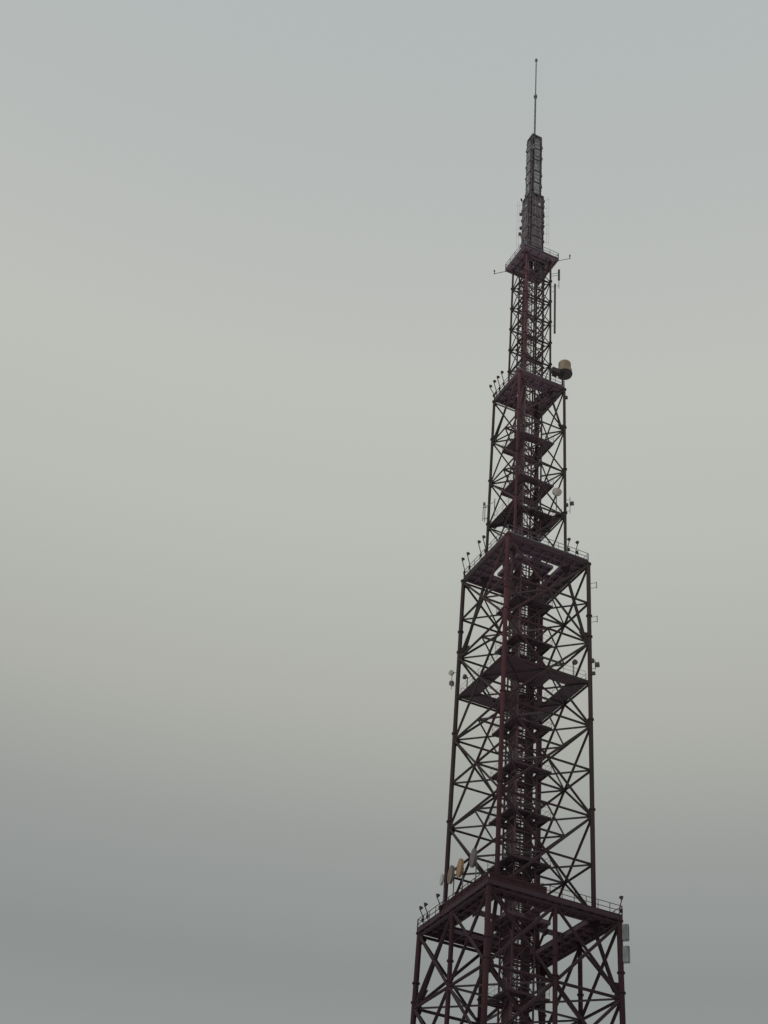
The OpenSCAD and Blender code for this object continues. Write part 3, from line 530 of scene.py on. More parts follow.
# The paler mauve of the undersides and inner beams is painted light.
deck_paint = finish_material(
    "deck_paint", deck_wear, bump=0.35, depth=0.001,
    Paint=(0.026, 0.0125, 0.017), Worn=(0.042, 0.022, 0.029), Bleached=(0.185, 0.130, 0.153),
    Rust=(0.060, 0.024, 0.016), Soot=(0.022, 0.014, 0.017), Dust=(0.11, 0.098, 0.094),
)
decks = {}
for title in leg_sections:
    dress(deck_paint, title + "_platform")
    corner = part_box(title + "_platform")[1]
    decks[title] = (round(corner.x, 4), round(corner.z, 4))
# Here too the paler mauve of the undersides is painted light.
walkway_paint = finish_material(
    "walkway_paint", deck_wear, bump=0.35, depth=0.001,
    Paint=(0.024, 0.0125, 0.016), Worn=(0.036, 0.020, 0.025), Bleached=(0.075, 0.050, 0.058),
    Rust=(0.060, 0.024, 0.016), Soot=(0.018, 0.012, 0.014), Dust=(0.11, 0.098, 0.094),
)
dress(walkway_paint, "landings", "lower_walkway")

# Railings. Welded from flat bars with two rails and a toe board, once galvanised, now dull grey with rust at
# the feet of the posts. The lowest platform's railing and its sheet screens are painted like the mast. The
# walkways and the landings round the shaft have railings of the same kind, in lighter tube.

tree, given, place = new_look("dull_zinc", ("Light", "Dark", "Rust"), ("Rusting",))
flakes = put(tree, "ShaderNodeTexVoronoi", {"Vector": place, "Scale": 260.0}, "Color", feature="F1")
flake = put(tree, "ShaderNodeSeparateColor", {0: flakes})
clouds = place.noise(7.0, 6.0, 0.65)
blotch = place.noise(22.0, 9.0, 0.72)
streak = place.noise(1.0, 5.0, 0.6, (70, 70, 5))
shade = flake * 0.3 + clouds * 0.9
colour = shade.between(0.25, 0.85).mix(given["Dark"], given["Light"])
colour = streak.between(0.5, 0.72, 0.0, 0.5).mix(colour, given["Dark"])
rust = (blotch + given["Rusting"]).between(0.66, 0.74)
colour = rust.mix(colour, given["Rust"])
close_look(tree, colour, flake.between(0.0, 1.0, 0.42, 0.6) + rust * 0.3, flake * 0.2 + rust * 0.6)
dull_zinc = tree
railing_zinc = finish_material(
    "railing_zinc", dull_zinc, metallic=0.1, bump=0.15, depth=0.0005,
    Light=(0.11, 0.105, 0.108), Dark=(0.045, 0.040, 0.041), Rust=(0.07, 0.034, 0.02), Rusting=0.06,
)
dress(railing_zinc, "lower_railing", "middle_railing", "upper_railing")
dress(leg_paint, "base_railing")

tree, given = new_grower("guard_rails", Height="Float", Spacing="Float", Tube="Float")
path = put(tree, "GeometryNodeMeshToCurve", {"Mesh": given["Geometry"]})
profile = {"Resolution": 6, "Radius": given["Tube"]}
profile = put(tree, "GeometryNodeCurvePrimitiveCircle", profile, mode="RADIUS")
parts = []
for share in (0.5, 0.985):
    offset = put(tree, "ShaderNodeCombineXYZ", {2: given["Height"] * share})
    raised = put(tree, "GeometryNodeSetPosition", {"Geometry": path, "Offset": offset})
    rail = {"Curve": raised, "Profile Curve": profile, "Fill Caps": True}
    parts.append(put(tree, "GeometryNodeCurveToMesh", rail))
feet = put(tree, "GeometryNodeResampleCurve", {"Curve": path, "Length": given["Spacing"]}, mode="LENGTH")
feet = put(tree, "GeometryNodeCurveToPoints", {"Curve": feet}, "Points", mode="EVALUATED")
post = {"Vertices": 6, "Radius": given["Tube"], "Depth": given["Height"]}
post = put(tree, "GeometryNodeMeshCylinder", post, "Mesh")
lifted = put(tree, "ShaderNodeCombineXYZ", {2: given["Height"] * 0.5})
post = put(tree, "GeometryNodeTransform", {"Geometry": post, "Translation": lifted})
parts.append(put(tree, "GeometryNodeInstanceOnPoints", {"Points": feet, "Instance": post}))
guard_rails = close_grower(tree, given, joined(tree, *parts))


def rails(name, runs, height, spacing, tube):
    """Railings along lines, as one piece."""
    sizes = {"Height": height, "Spacing": spacing, "Tube": tube, "Material": railing_zinc}
    bake(name, guard_rails, lines(name + "_paths", runs), "deck_paint", **sizes)


def crossing(s, i):
    """Height at which the two diagonals of a panel cross."""
    low, high = level(s, i), level(s, i + 1)
    a, b = half_at(s, low), half_at(s, high)
    return low + (high - low) * a / (a + b)


def rail_line(s, z):
    """Distance of a walkway's outer railing from the middle of the mast."""
    return half_at(s, z) - s["brace"] / 2 - rail_gap


frame_depth, landing_plate, walkway_plate = 0.018, 0.020, 0.034
landing_top = frame_depth / 2 + landing_plate
walkway_top = frame_depth / 2 + walkway_plate
landing_drop = 0.200
landing_side, next_side = -0.241, 0.239
base, lower, middle = leg_sections["base"], leg_sections["lower"], leg_sections["middle"]
floors = [level(base, i) + landing_top for i in range(1, 8)]
floors += [level(lower, i) + landing_top for i in range(1, 4)]
floors += [crossing(lower, i) + landing_top for i in (0, 1, 3)]
floors += [level(middle, i) - landing_drop + landing_plate for i in (2, 3)]
floors += [level(middle, 1) + landing_top]
runs = []
for z in floors:
    for quarter in range(4):
        runs.append([turned(x, landing_side, z, quarter) for x in (landing_side, next_side)])
rails("landing_rails", runs, height=0.105, spacing=0.12, tube=0.0016)

walkway_width, shaft_side = 0.170, 0.142
rail_gap, inner_gap, lower_gap, middle_gap = 0.004, 0.005, 0.032, 0.045
walk = crossing(lower, 2)
z = walk + walkway_top
outer = rail_line(lower, walk)
inner = outer - walkway_width + inner_gap
end = outer - lower_gap
runs = [[turned(x, -outer, z, quarter) for x in (-end, end)] for quarter in range(4)]
for quarter in (0, 2):
    near_shaft, corner = (shaft_side, -inner), (inner, -inner)
    sides = [(near_shaft, corner), (corner, (inner, 0.13)), (near_shaft, (shaft_side, -0.140))]
    for start, stop in sides:
        runs.append([turned(*start, z, quarter), turned(*stop, z, quarter)])
walk = level(middle, 1)
z = walk + walkway_top
outer = rail_line(middle, walk)
end = outer - middle_gap
runs += [[turned(x, -outer, z, quarter) for x in (-end, end)] for quarter in (1, 3)]
rails("walkway_rails", runs, height=0.108, spacing=0.14, tube=0.0020)

# Flat frames and struts. Light angle and flat bars that tie the faces to the lift shaft, bolted to the level
# tubes, and short struts under the platforms. The thin ties are painted paler and greyer than the legs, as
# painted light for the shade they stand in inside the mast.

# Paler than the legs: painted light for the shade inside the mast.
tie_paint_with_painted_light = finish_material(
    "tie_paint_with_painted_light", weathered_paint, bump=0.25, depth=0.0008, Rusting=0.04, Length=0.4,
    Paint=(0.034, 0.022, 0.025), Chalk=(0.086, 0.066, 0.070),
    Rust=(0.07, 0.032, 0.02), Dust=(0.09, 0.08, 0.078),
)
dress(tie_paint_with_painted_light, "plan_frames")
dress(bracing_paint, "struts")

# Lift shaft. A square cage of welded angle from the ground to the top platform, in bays with crossed bars.
# It has red oxide like the legs, redder and dull, and is painted much paler than the legs as painted
# light, for the shade the platforms and landings cast on it.

# Paler than the legs: painted light for the shade inside the mast.
shaft_paint_with_painted_light = finish_material(
    "shaft_paint_with_painted_light", weathered_paint, bump=0.25, depth=0.0008, Rusting=0.05, Length=0.4,
    Paint=(0.098, 0.041, 0.048), Chalk=(0.102, 0.065, 0.072),
    Rust=(0.07, 0.026, 0.018), Dust=(0.07, 0.062, 0.06),
)
dress(shaft_paint_with_painted_light, *["shaft_" + face for face in faces])

# Feeders. Black jacketed cables on cable ladders along the walls of the shaft, side by side and clamped at
# every bay, up to the antennas. They fill the shaft so that only slits stay open. Five newer ones with pale
# jackets climb outside its right corner, from the third platform to the top one.


def heights(start, end, pitch):
    """Heights from the start to below the end, a pitch apart."""
    z = start
    while z < end:
        yield z
        z += pitch


cable_jacket = finish_material(
    "cable_jacket", weathered_paint, bump=0.2, depth=0.0005, Rusting=-0.05, Length=1.3,
    Paint=(0.060, 0.031, 0.037), Chalk=(0.074, 0.054, 0.058),
    Rust=(0.05, 0.024, 0.02), Dust=(0.05, 0.045, 0.043),
)
shaft_bay, shaft_low, first_clamp = 0.1422, 0.075, 0.05
wall = 0.104
close_pitch, open_pitch = 0.0082, 0.0145
to_second_deck, to_third_deck, to_column = 10.55, 13.35, 15.52
trays = [
    ((-wall, -0.100), (-wall, 0.060), to_column, close_pitch),
    ((-wall, 0.066), (-wall, 0.094), to_second_deck, close_pitch),
    ((0.006, -wall), (0.090, -wall), to_second_deck, open_pitch),
    ((wall, -0.072), (wall, -0.002), to_third_deck, close_pitch),
    ((wall, 0.010), (wall, 0.094), to_second_deck, open_pitch),
    ((-0.088, wall), (-0.042, wall), to_third_deck, close_pitch),
    ((-0.030, wall), (0.060, wall), to_second_deck, open_pitch),
]
drawn_in, drawn_at = 0.52, (15.93, 17.4)
cables, clamps = [], []
for (x0, y0), (x1, y1), high, pitch in trays:
    count = max(2, round(math.hypot(x1 - x0, y1 - y0) / pitch))
    for i in range(count + 1):
        share = i / count
        x, y = x0 + (x1 - x0) * share, y0 + (y1 - y0) * share
        thick = 0.72 + 0.28 * ((i * 7) % 5) / 4
        cable = [thick, (x, y, shaft_low), (x, y, high)]
        if high == to_column:
            cable += [(x * drawn_in, y * drawn_in, z) for z in drawn_at]
        cables.append(cable)
    clamps += [[(x0, y0, z), (x1, y1, z)] for z in heights(shaft_low + first_clamp, high, shaft_bay)]
tubes("feeders", cables, cable_jacket, "bracing_paint", radius=0.0046, sides=6)
tubes("feeder_clamps", clamps, shaft_paint_with_painted_light, "bracing_paint", radius=0.0062, sides=4)

pale_jacket = finish_material(
    "pale_jacket", weathered_paint, bump=0.2, depth=0.0005, Rusting=-0.05, Length=2.3,
    Paint=(0.10, 0.115, 0.11), Chalk=(0.20, 0.225, 0.215),
    Rust=(0.08, 0.07, 0.05), Dust=(0.09, 0.08, 0.076),
)
drawn_in, drawn_at = 0.8, (15.86, 16.02)
late_foot, late_bend, late_clamp = 13.56, 15.40, 13.66
late_clamp_ends = ((0.098, -0.120), (0.146, -0.108))
late = []
for i in range(5):
    x, y = 0.114 + 0.007 * i, -0.116 + 0.002 * i
    cable = [(x, y, late_foot), (x, y, late_bend)]
    late.append(cable + [(x * drawn_in, y * drawn_in, z) for z in drawn_at])
clamps = []
for i in range(12):
    z = late_clamp + shaft_bay * i
    clamps.append([(*end, z) for end in late_clamp_ends])
tubes("late_feeders", late, pale_jacket, "bracing_paint", radius=0.0032, sides=6)
tubes("late_feeder_clamps", clamps, shaft_paint_with_painted_light, "bracing_paint", radius=0.0055, sides=4)

# Lift rails, ladder and girts. Two tee rails are clipped to the cage, ropes hang between them, and a ladder
# in hoops climbs beside one of them. Up to the second platform, level girts stiffen the walls.

rail_top, rung_top, fitting_top, girt_top = 15.95, 15.94, 15.9, 10.6
first_clip, first_rung, first_hoop, first_girt = 0.2, 0.1, 0.3, 0.125
rail_y, tee_depth, clip_half = 0.098, 0.012, 0.022
ladder_sides, ladder_y, rung_pitch = (-0.078, -0.040), -0.088, 0.030
hoop_x, hoop_wide, hoop_deep, hoop_pitch = -0.059, 0.024, 0.036, 0.09
ropes = ((0.030, 0.020), (0.034, 0.020), (0.050, 0.062), (0.054, 0.062), (-0.01, 0.045))
girt, girt_step = 0.091, 0.0355
runs = []
for side in (-1, 1):
    y = side * rail_y
    runs.append([(0.0, y, shaft_low), (0.0, y, rail_top)])
    runs.append([0.55, (0.0, y - side * tee_depth, shaft_low), (0.0, y - side * tee_depth, rail_top)])
    y += side * tee_depth / 2
    clips = heights(first_clip, fitting_top, 2 * shaft_bay)
    runs += [[0.7, (-clip_half, y, z), (clip_half, y, z)] for z in clips]
for x in ladder_sides:
    runs.append([0.62, (x, ladder_y, shaft_low), (x, ladder_y, rail_top)])
for z in heights(first_rung, rung_top, rung_pitch):
    runs.append([0.33] + [(x, ladder_y, z) for x in ladder_sides])
for z in heights(first_hoop, fitting_top, hoop_pitch):
    hoop = [0.33]
    for i in range(9):
        angle = math.pi * i / 8
        hoop.append((hoop_x - hoop_wide * math.cos(angle), ladder_y + hoop_deep * math.sin(angle), z))
    runs.append(hoop)
for x, y in ropes:
    runs.append([0.22, (x, y, shaft_low), (x, y, rail_top)])
for z in heights(first_girt, girt_top, shaft_bay / 2):
    for side in (-1, 1):
        runs.append([1.1, (-girt, side * girt, z), (girt, side * girt, z)])
        runs.append([1.1, (side * girt, -girt, z + girt_step), (side * girt, girt, z + girt_step)])
tubes("lift_rails_and_ladder", runs, shaft_paint_with_painted_light, "bracing_paint", radius=0.0058, sides=6)

# Antenna column. Two square cages of small angle, one on the other, with a capping plate on each, painted
# like the mast but bleached and sooty, and paler still as painted light for the shade in the gaps between
# the panels. Flat antenna panels hang on all four sides: glass fibre covers over a metal tray, gone grey,
# with dirt in runs and each one weathered to its own tone.

# Paler than the mast's paint: painted light for the shade in the gaps between the panels.
column_paint_with_painted_light = finish_material(
    "column_paint_with_painted_light", weathered_paint, bump=0.3, depth=0.0008, Rusting=0.06, Length=0.2,
    Paint=(0.060, 0.046, 0.050), Chalk=(0.100, 0.090, 0.092),
    Rust=(0.05, 0.022, 0.014), Dust=(0.08, 0.078, 0.072),
)
dress(column_paint_with_painted_light, "wide_column", "slim_column")

tree, given, place = new_look("weathered_cover", ("Pale", "Dull", "Grime"), ("Dirt", "Patch", "Cap"))
ways = place.split()
patch = {i: (way / given["Patch"]).step("FLOOR") for i, way in enumerate(ways)}
patch = put(tree, "ShaderNodeCombineXYZ", patch)
tone = put(tree, "ShaderNodeTexWhiteNoise", {"Vector": patch}, "Value", noise_dimensions="3D")
clouds = place.noise(14.0, 6.0, 0.65)
runs = place.noise(1.0, 6.0, 0.6, (95, 95, 7))
specks = place.noise(210.0, 4.0, 0.6)
shade = tone * 0.5 + clouds.between(0.35, 0.65, 0.0, 0.6)
colour = shade.between(0.1, 0.9).mix(given["Dull"], given["Pale"])
stained = (runs + clouds * 0.3).between(0.58, 0.82)
colour = (stained * given["Dirt"]).mix(colour, given["Grime"])
colour = specks.between(0.62, 0.72, 0.0, 0.4).mix(colour, given["Grime"])
drip = given["Cap"] - ways[2] + runs * -0.12
colour = drip.between(0.03, 0.18, 0.85, 0.0).mix(colour, given["Grime"])
close_look(tree, colour, specks.between(0.3, 0.7, 0.4, 0.65), specks * 0.4 + runs * 0.5)
weathered_cover = tree
column_parts = {
    "wide": dict(length=1.406, side=0.216, post=0.014, tiers=6, cover=0.168),
    "slim": dict(length=1.386, side=0.152, post=0.010, tiers=5, cover=0.0912),
}
for title, c in column_parts.items():
    c["foot"], c["cap"] = [round(corner.z, 4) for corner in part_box(title + "_column")]
wide_cover = finish_material(
    "wide_cover", weathered_cover, bump=0.2, depth=0.0006,
    Pale=(0.115, 0.096, 0.101), Dull=(0.054, 0.040, 0.045), Grime=(0.030, 0.022, 0.024),
    Dirt=0.7, Patch=0.047, Cap=column_parts["wide"]["cap"],
)
slim_cover = finish_material(
    "slim_cover", weathered_cover, bump=0.2, depth=0.0006,
    Pale=(0.27, 0.265, 0.26), Dull=(0.086, 0.080, 0.082), Grime=(0.034, 0.036, 0.032),
    Dirt=0.8, Patch=0.039, Cap=column_parts["slim"]["cap"],
)
dress(wide_cover, "wide_panels")
dress(slim_cover, "slim_panels")

# Panel frames, dipoles and jumpers. A metal frame with two ribs holds each panel's cover, dipoles stand in
# front of it on stubs, and strips and short jumper cables close the gaps from panel to panel. A pair of
# feeders runs up each corner to power dividers, which stand out as boxes.


def keep(name, mesh, material):
    """Makes a piece of a finished mesh."""
    mesh.materials.append(material)
    piece = bpy.data.objects.new(name, mesh)
    bpy.context.scene.collection.objects.link(piece)
    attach(piece, "root")


def boxes(name, items, material, bevel):
    """Boxes with eased edges, each given by its centre, its size and its turn about the vertical."""
    shape = bmesh.new()
    for centre, size, turn in items:
        made = bmesh.ops.create_cube(shape, size=1.0)["verts"]
        spin = Matrix.Translation(centre) @ Matrix.Rotation(turn, 4, "Z") @ Matrix.Diagonal((*size, 1.0))
        bmesh.ops.transform(shape, matrix=spin, verts=made)
    bmesh.ops.bevel(shape, geom=shape.edges[:], offset=bevel, segments=2, affect="EDGES")
    mesh = bpy.data.meshes.new(name)
    shape.to_mesh(mesh)
    shape.free()
    keep(name, mesh, material)


dipole_metal = finish_material(
    "dipole_metal", dull_zinc, metallic=0.2, bump=0.1, depth=0.0003,
    Light=(0.17, 0.16, 0.16), Dark=(0.075, 0.068, 0.07), Rust=(0.09, 0.05, 0.035), Rusting=0.02,
)
panel_thickness, panel_gap, open_head = 0.020, 0.034, 0.070
frame_seat, rib_shares = 0.0012, (0.33, 0.67)
stub, stub_shares, upright_half, level_half = 0.016, (0.25, 0.75), 0.036, 0.052
strip_seat, strip_deep, lap = 0.0065, 0.010, 0.004
jumper_shares = (-0.85, -0.7, -0.36, -0.2, 0.05, 0.2, 0.42, 0.7, 0.9)
jumper_seat, bow_aside, bow_seat = 0.006, 0.003, 0.001
feeder_pair, feeder_out, feeder_start, feeder_end = (-0.003, 0.009), 0.006, 0.01, 0.012
clamp_ends, clamp_rise = (-0.011, 0.017), 0.05
divider, divider_out, divider_rise = (0.020, 0.020, 0.046), 0.004, 0.04
rims, dipoles, jumpers, harness, dividers, strips = [], [], [], [], [], []
for title, c in column_parts.items():
    upright = title == "wide"
    bay = (c["length"] - open_head - c["post"]) / (2 * c["tiers"])
    face = -c["side"] / 2 - panel_thickness - frame_seat
    edge = c["cover"] / 2
    corner = c["side"] / 2 + feeder_out
    start, end = c["foot"] + feeder_start, c["foot"] + c["length"] - feeder_end
    for quarter in range(4):
        for i in range(c["tiers"]):
            low = c["foot"] + 2 * i * bay + (c["post"] + panel_gap) / 2
            high = low + 2 * bay - panel_gap
            rim = [(-edge, low), (edge, low), (edge, high), (-edge, high), (-edge, low)]
            rims.append([turned(x, face, z, quarter) for x, z in rim])
            for share in rib_shares:
                z = low + (high - low) * share
                rims.append([0.7] + [turned(x, face, z, quarter) for x in (-edge, edge)])
            for share in stub_shares:
                z = low + (high - low) * share
                for x in (-0.5 * edge, 0.5 * edge) if upright else (0.0,):
                    dipoles.append([0.8] + [turned(x, y, z, quarter) for y in (face, face - stub)])
                    rod = [(x, z - upright_half), (x, z + upright_half)]
                    if not upright:
                        rod = [(-level_half, z), (level_half, z)]
                    dipoles.append([turned(along, face - stub, up, quarter) for along, up in rod])
            if i == c["tiers"] - 1:
                continue
            seat = turned(0, -c["side"] / 2 - strip_seat, high + panel_gap / 2, quarter)
            strips.append((seat, (c["cover"], strip_deep, panel_gap + lap), math.pi / 2 * quarter))
            for x in [share * edge for share in jumper_shares]:
                loop = [(x, jumper_seat, high - lap), (x + bow_aside, bow_seat, high + panel_gap / 2)]
                loop += [(x, jumper_seat, high + panel_gap + lap)]
                jumpers.append([turned(x, face + y, z, quarter) for x, y, z in loop])
        for aside in feeder_pair:
            ends = [turned(-corner + aside, -corner, z, quarter) for z in (start, end)]
            harness.append([0.8] + ends)
        for i in range(2 * c["tiers"]):
            z = c["foot"] + i * bay + clamp_rise
            clamp = [turned(-corner + aside, -corner, z, quarter) for aside in clamp_ends]
            harness.append([0.9] + clamp)
            if (i * 3 + quarter * 2) % 5 < 2:
                out = -corner - divider_out
                dividers.append((turned(out, out, z + divider_rise, quarter), divider, math.pi / 4))
tubes("panel_dipoles", dipoles, dipole_metal, "antenna_cover", radius=0.0034, sides=6)
boxes("closing_strips", strips, wide_cover, bevel=0.001)
tubes("panel_frames", rims, wide_cover, "antenna_cover", radius=0.0024, sides=4)
tubes("panel_jumpers", jumpers, column_paint_with_painted_light, "antenna_cover", radius=0.0034, sides=6)
tubes("corner_feeders", harness, column_paint_with_painted_light, "antenna_cover", radius=0.0046, sides=6)

# Gear under the caps and at the corners. Painted steel boxes for the filters and dividers, packed into the
# open head under each cap so that it looks like a dark band, and a few more outside the corners. Two pale
# boxes were put on later and have kept their light grey.

cap_box_tall, cap_box_rise = 0.056, 0.034
cap_box_shares, cap_box_deep, cap_box_out = ((-0.27, 0.30), (0.22, 0.36)), 0.12, 0.40
left_box, right_box = (0.034, 0.026, 0.050), (0.040, 0.022, 0.060)
left_seats = [(-0.131, 0.131, 17.165), (-0.126, 0.126, 16.860), (-0.136, 0.136, 16.737)]
right_seats = [(0.098, -0.124, z) for z in (17.209, 17.054, 16.877, 16.638)]
for c in column_parts.values():
    side, z = c["side"], c["foot"] + c["length"] - open_head + cap_box_rise
    for quarter in range(4):
        for x, wide in cap_box_shares:
            size = (wide * side, side * cap_box_deep, cap_box_tall)
            if quarter % 2 == 1:
                size = (side * cap_box_deep, wide * side, cap_box_tall)
            dividers.append((turned(x * side, -side * cap_box_out, z, quarter), size, 0.0))
dividers += [(seat, left_box, -math.pi / 4) for seat in left_seats]
dividers += [(seat, right_box, 0.0) for seat in right_seats]
boxes("divider_boxes", dividers, column_paint_with_painted_light, bevel=0.0016)
no_cap = 99.0
light_grey = finish_material(
    "light_grey", weathered_cover, bump=0.2, depth=0.0004,
    Pale=(0.34, 0.35, 0.37), Dull=(0.26, 0.26, 0.27), Grime=(0.10, 0.095, 0.09),
    Dirt=0.5, Patch=0.1, Cap=no_cap,
)
late_boxes = [
    ((0.028, -0.138, 17.200), (0.034, 0.016, 0.040), 0.0),
    ((-0.138, -0.045, 17.173), (0.016, 0.026, 0.034), 0.0),
]
boxes("late_boxes", late_boxes, light_grey, bevel=0.0016)

# Dipole bays beside the wide column. Upright rods on thin arms out of the left and right corners, and one
# small antenna on a leaning bracket under the cap at the left. The rods are bare metal gone grey, and the
# bracket is painted.

dull_metal = finish_material(
    "dull_metal", dull_zinc, metallic=0.2, bump=0.1, depth=0.0003,
    Light=(0.27, 0.275, 0.275), Dark=(0.15, 0.15, 0.152), Rust=(0.14, 0.08, 0.055), Rusting=0.0,
)
inner_rod, outer_rod, arm_start = 0.148, 0.170, 0.112
arms, arm_margin, highest_arm = 6, 0.06, 17.43
rods = []
for (x, y), low, high in (((-1, 1), 16.46, 17.47), ((1, -1), 16.37, 17.43)):
    for out in (inner_rod, outer_rod):
        rods.append([0.55, (x * out, y * out, low), (x * out, y * out, high)])
    for i in range(arms):
        z = low + arm_margin + i * (min(high, highest_arm) - low - 2 * arm_margin) / (arms - 1)
        rods.append([0.6, (x * arm_start, y * arm_start, z), (x * outer_rod, y * outer_rod, z)])
tubes("dipole_bays", rods, dull_metal, "galvanised", radius=0.0030, sides=6)
gear_paint = finish_material(
    "gear_paint", weathered_paint, bump=0.3, depth=0.0008, Rusting=0.06, Length=0.2,
    Paint=(0.046, 0.022, 0.032), Chalk=(0.105, 0.054, 0.078),
    Rust=(0.05, 0.022, 0.014), Dust=(0.08, 0.078, 0.072),
)
bracket = [0.8, (-0.110, 0.110, 17.366), (-0.121, 0.121, 17.440), (-0.128, 0.128, 17.470)]
aerial = [2.6, (-0.126, 0.126, 17.468), (-0.131, 0.131, 17.512)]
tubes("corner_antenna", [bracket, aerial], gear_paint, "galvanised", radius=0.0050, sides=10)

# Pole. A steel tube in two lengths above the slim column, once galvanised, with the joint's collar halfway,
# a knob at the tip and a lightning conductor clamped along it.

pole_zinc = finish_material(
    "pole_zinc", dull_zinc, metallic=0.2, bump=0.15, depth=0.0004,
    Light=(0.115, 0.118, 0.115), Dark=(0.065, 0.064, 0.063), Rust=(0.09, 0.045, 0.025), Rusting=0.03,
)
dress(pole_zinc, "top_pole")
on_lower, past_collar, on_upper = -0.0168, -0.0295, -0.0112
conductor = [
    (on_lower, 18.875), (on_lower, 19.895), (past_collar, 19.905),
    (past_collar, 19.955), (on_upper, 19.965), (on_upper, 20.860),
]
runs = [[0.7] + [(0.0, y, z) for y, z in conductor]]
clamp_pitch = 0.145
for thick, foot, count, tall in ((5.6, 18.98, 7, 0.009), (3.7, 20.02, 6, 0.008)):
    for i in range(count):
        z = foot + clamp_pitch * i
        runs.append([thick, (0, 0, z), (0, 0, z + tall)])
tubes("pole_clamps", runs, pole_zinc, "galvanised", radius=0.0029, sides=16)

# Lamps. Floodlights with flared heads stand round the railings on bent tubes and look up at the mast, and
# small obstruction lamps hang out from the corners of the top platform. Bodies and tubes are painted dark,
# the glasses are dusty, and each floodlight has its gear box on the railing.

dress(gear_paint, "lamps")
tree, given, place = new_look("dusty_glass", ("Glass", "Dust"))
film = place.noise(60.0, 6.0, 0.6)
colour = film.between(0.35, 0.7, 0.1, 0.8).mix(given["Glass"], given["Dust"])
close_look(tree, colour, film.between(0.35, 0.7, 0.08, 0.5), film)
dusty_glass = tree
flood_glass = finish_material(
    "flood_glass", dusty_glass, gloss=0.5, bump=0.05, depth=0.0003,
    Glass=(0.10, 0.11, 0.115), Dust=(0.22, 0.21, 0.19),
)
red_glass = finish_material(
    "red_glass", dusty_glass, gloss=0.5, bump=0.05, depth=0.0003,
    Glass=(0.10, 0.012, 0.010), Dust=(0.13, 0.08, 0.07),
)
flood_d, flood_rise, flood_reach, stalk_d, stalk_gap = 0.046, 0.140, 0.045, 0.008, 0.0005
rail_height = 0.110
gear_aside, gear_out, gear_rise = 0.010, 0.018, 0.045
lean = math.radians(18)
head = flood_d * 0.7
glass_seat = head + 0.0012
lamp_rows = [
    ("middle", 3, flood_rise, 0.0, (-0.78, -0.5, -0.18)),
    ("middle", 3, flood_rise, -flood_reach, (-0.97,)),
    ("lower", 3, flood_rise, 0.0, (-0.92, -0.68, -0.17, 0.04)),
    ("base", 3, flood_rise / 2, 0.0, (-0.8, -0.66, -0.3)),
    ("lower", 0, flood_rise / 2, 0.0, (0.46, 0.67)),
    ("base", 0, flood_rise / 2, 0.0, (0.95,)),
]
mouths, looks, gear = [], [], []
for title, quarter, rise, aside, shares in lamp_rows:
    half, deck_top = decks[title]
    y = -half - stalk_d / 2 - stalk_gap - flood_reach + glass_seat * math.sin(lean)
    z = deck_top + rail_height + rise - head + glass_seat * math.cos(lean)
    size = (0.030, 0.016, 0.040) if quarter == 0 else (0.016, 0.030, 0.040)
    for share in shares:
        mouths.append(turned(share * half + aside, y, z, quarter))
        looks.append(turned(0, math.sin(lean), math.cos(lean), quarter))
        seat = turned(share * half + gear_aside, -half - gear_out, deck_top + gear_rise, quarter)
        gear.append((seat, size, 0.0))
pegs("flood_glasses", mouths, looks, flood_glass, "leg_paint", radius=0.0215, depth=0.003, sides=28)
boxes("flood_gear", gear, leg_paint, bevel=0.0015)


def lathe(name, profile, centre, aim, material, sides=48):
    """A solid turned from a profile of radii and heights, which starts and ends on the axis."""
    corners, polygons = [], []
    for radius, height in profile[1:-1]:
        for i in range(sides):
            angle = 2 * math.pi * i / sides
            corners.append(Vector((radius * math.cos(angle), radius * math.sin(angle), height)))
    rings = len(profile) - 2
    foot, tip = len(corners), len(corners) + 1
    corners += [Vector((0, 0, profile[0][1])), Vector((0, 0, profile[-1][1]))]
    for i in range(sides):
        j = (i + 1) % sides
        polygons.append((foot, j, i))
        for ring in range(rings - 1):
            low, high = ring * sides, (ring + 1) * sides
            polygons.append((low + i, low + j, high + j, high + i))
        polygons.append((tip, (rings - 1) * sides + i, (rings - 1) * sides + j))
    place = Matrix.Translation(centre) @ Vector(aim).to_track_quat("Z", "Y").to_matrix().to_4x4()
    mesh = bpy.data.meshes.new(name)
    mesh.from_pydata([tuple(place @ corner) for corner in corners], [], polygons)
    mesh.shade_smooth()
    mesh.set_sharp_from_angle(angle=math.radians(40))
    keep(name, mesh, material)


straight_up = (0, 0, 1)
half, deck_top = decks["upper"]
out, z = half + 0.160 * math.sqrt(0.5), deck_top + 0.0015
dome = [(0, 0), (0.0085, 0), (0.0112, 0.003), (0.0112, 0.022), (0.0100, 0.028), (0.0065, 0.0325), (0, 0.034)]
for title, x, y in (("near", -1, -1), ("right", 1, -1), ("far", 1, 1), ("left", -1, 1)):
    seat = (x * out, y * out, z)
    lathe("obstruction_glass_" + title, dome, seat, straight_up, red_glass, sides=20)

# Radome. A drum shaped cover of tan glass fibre over a dark steel drum on a post, with moulded ribs, stained
# olive where water runs off. Its wider skirt comes down over the drum and is bolted to it through a flange.
# The drum has a hatch, and a box with its feeders hangs beside it.


def ring(centre, radius, steps):
    """Points once round a level circle and back to the first."""
    angles = [2 * math.pi * i / steps for i in range(steps + 1)]
    x, y, z = centre
    return [(x + radius * math.cos(angle), y + radius * math.sin(angle), z) for angle in angles]


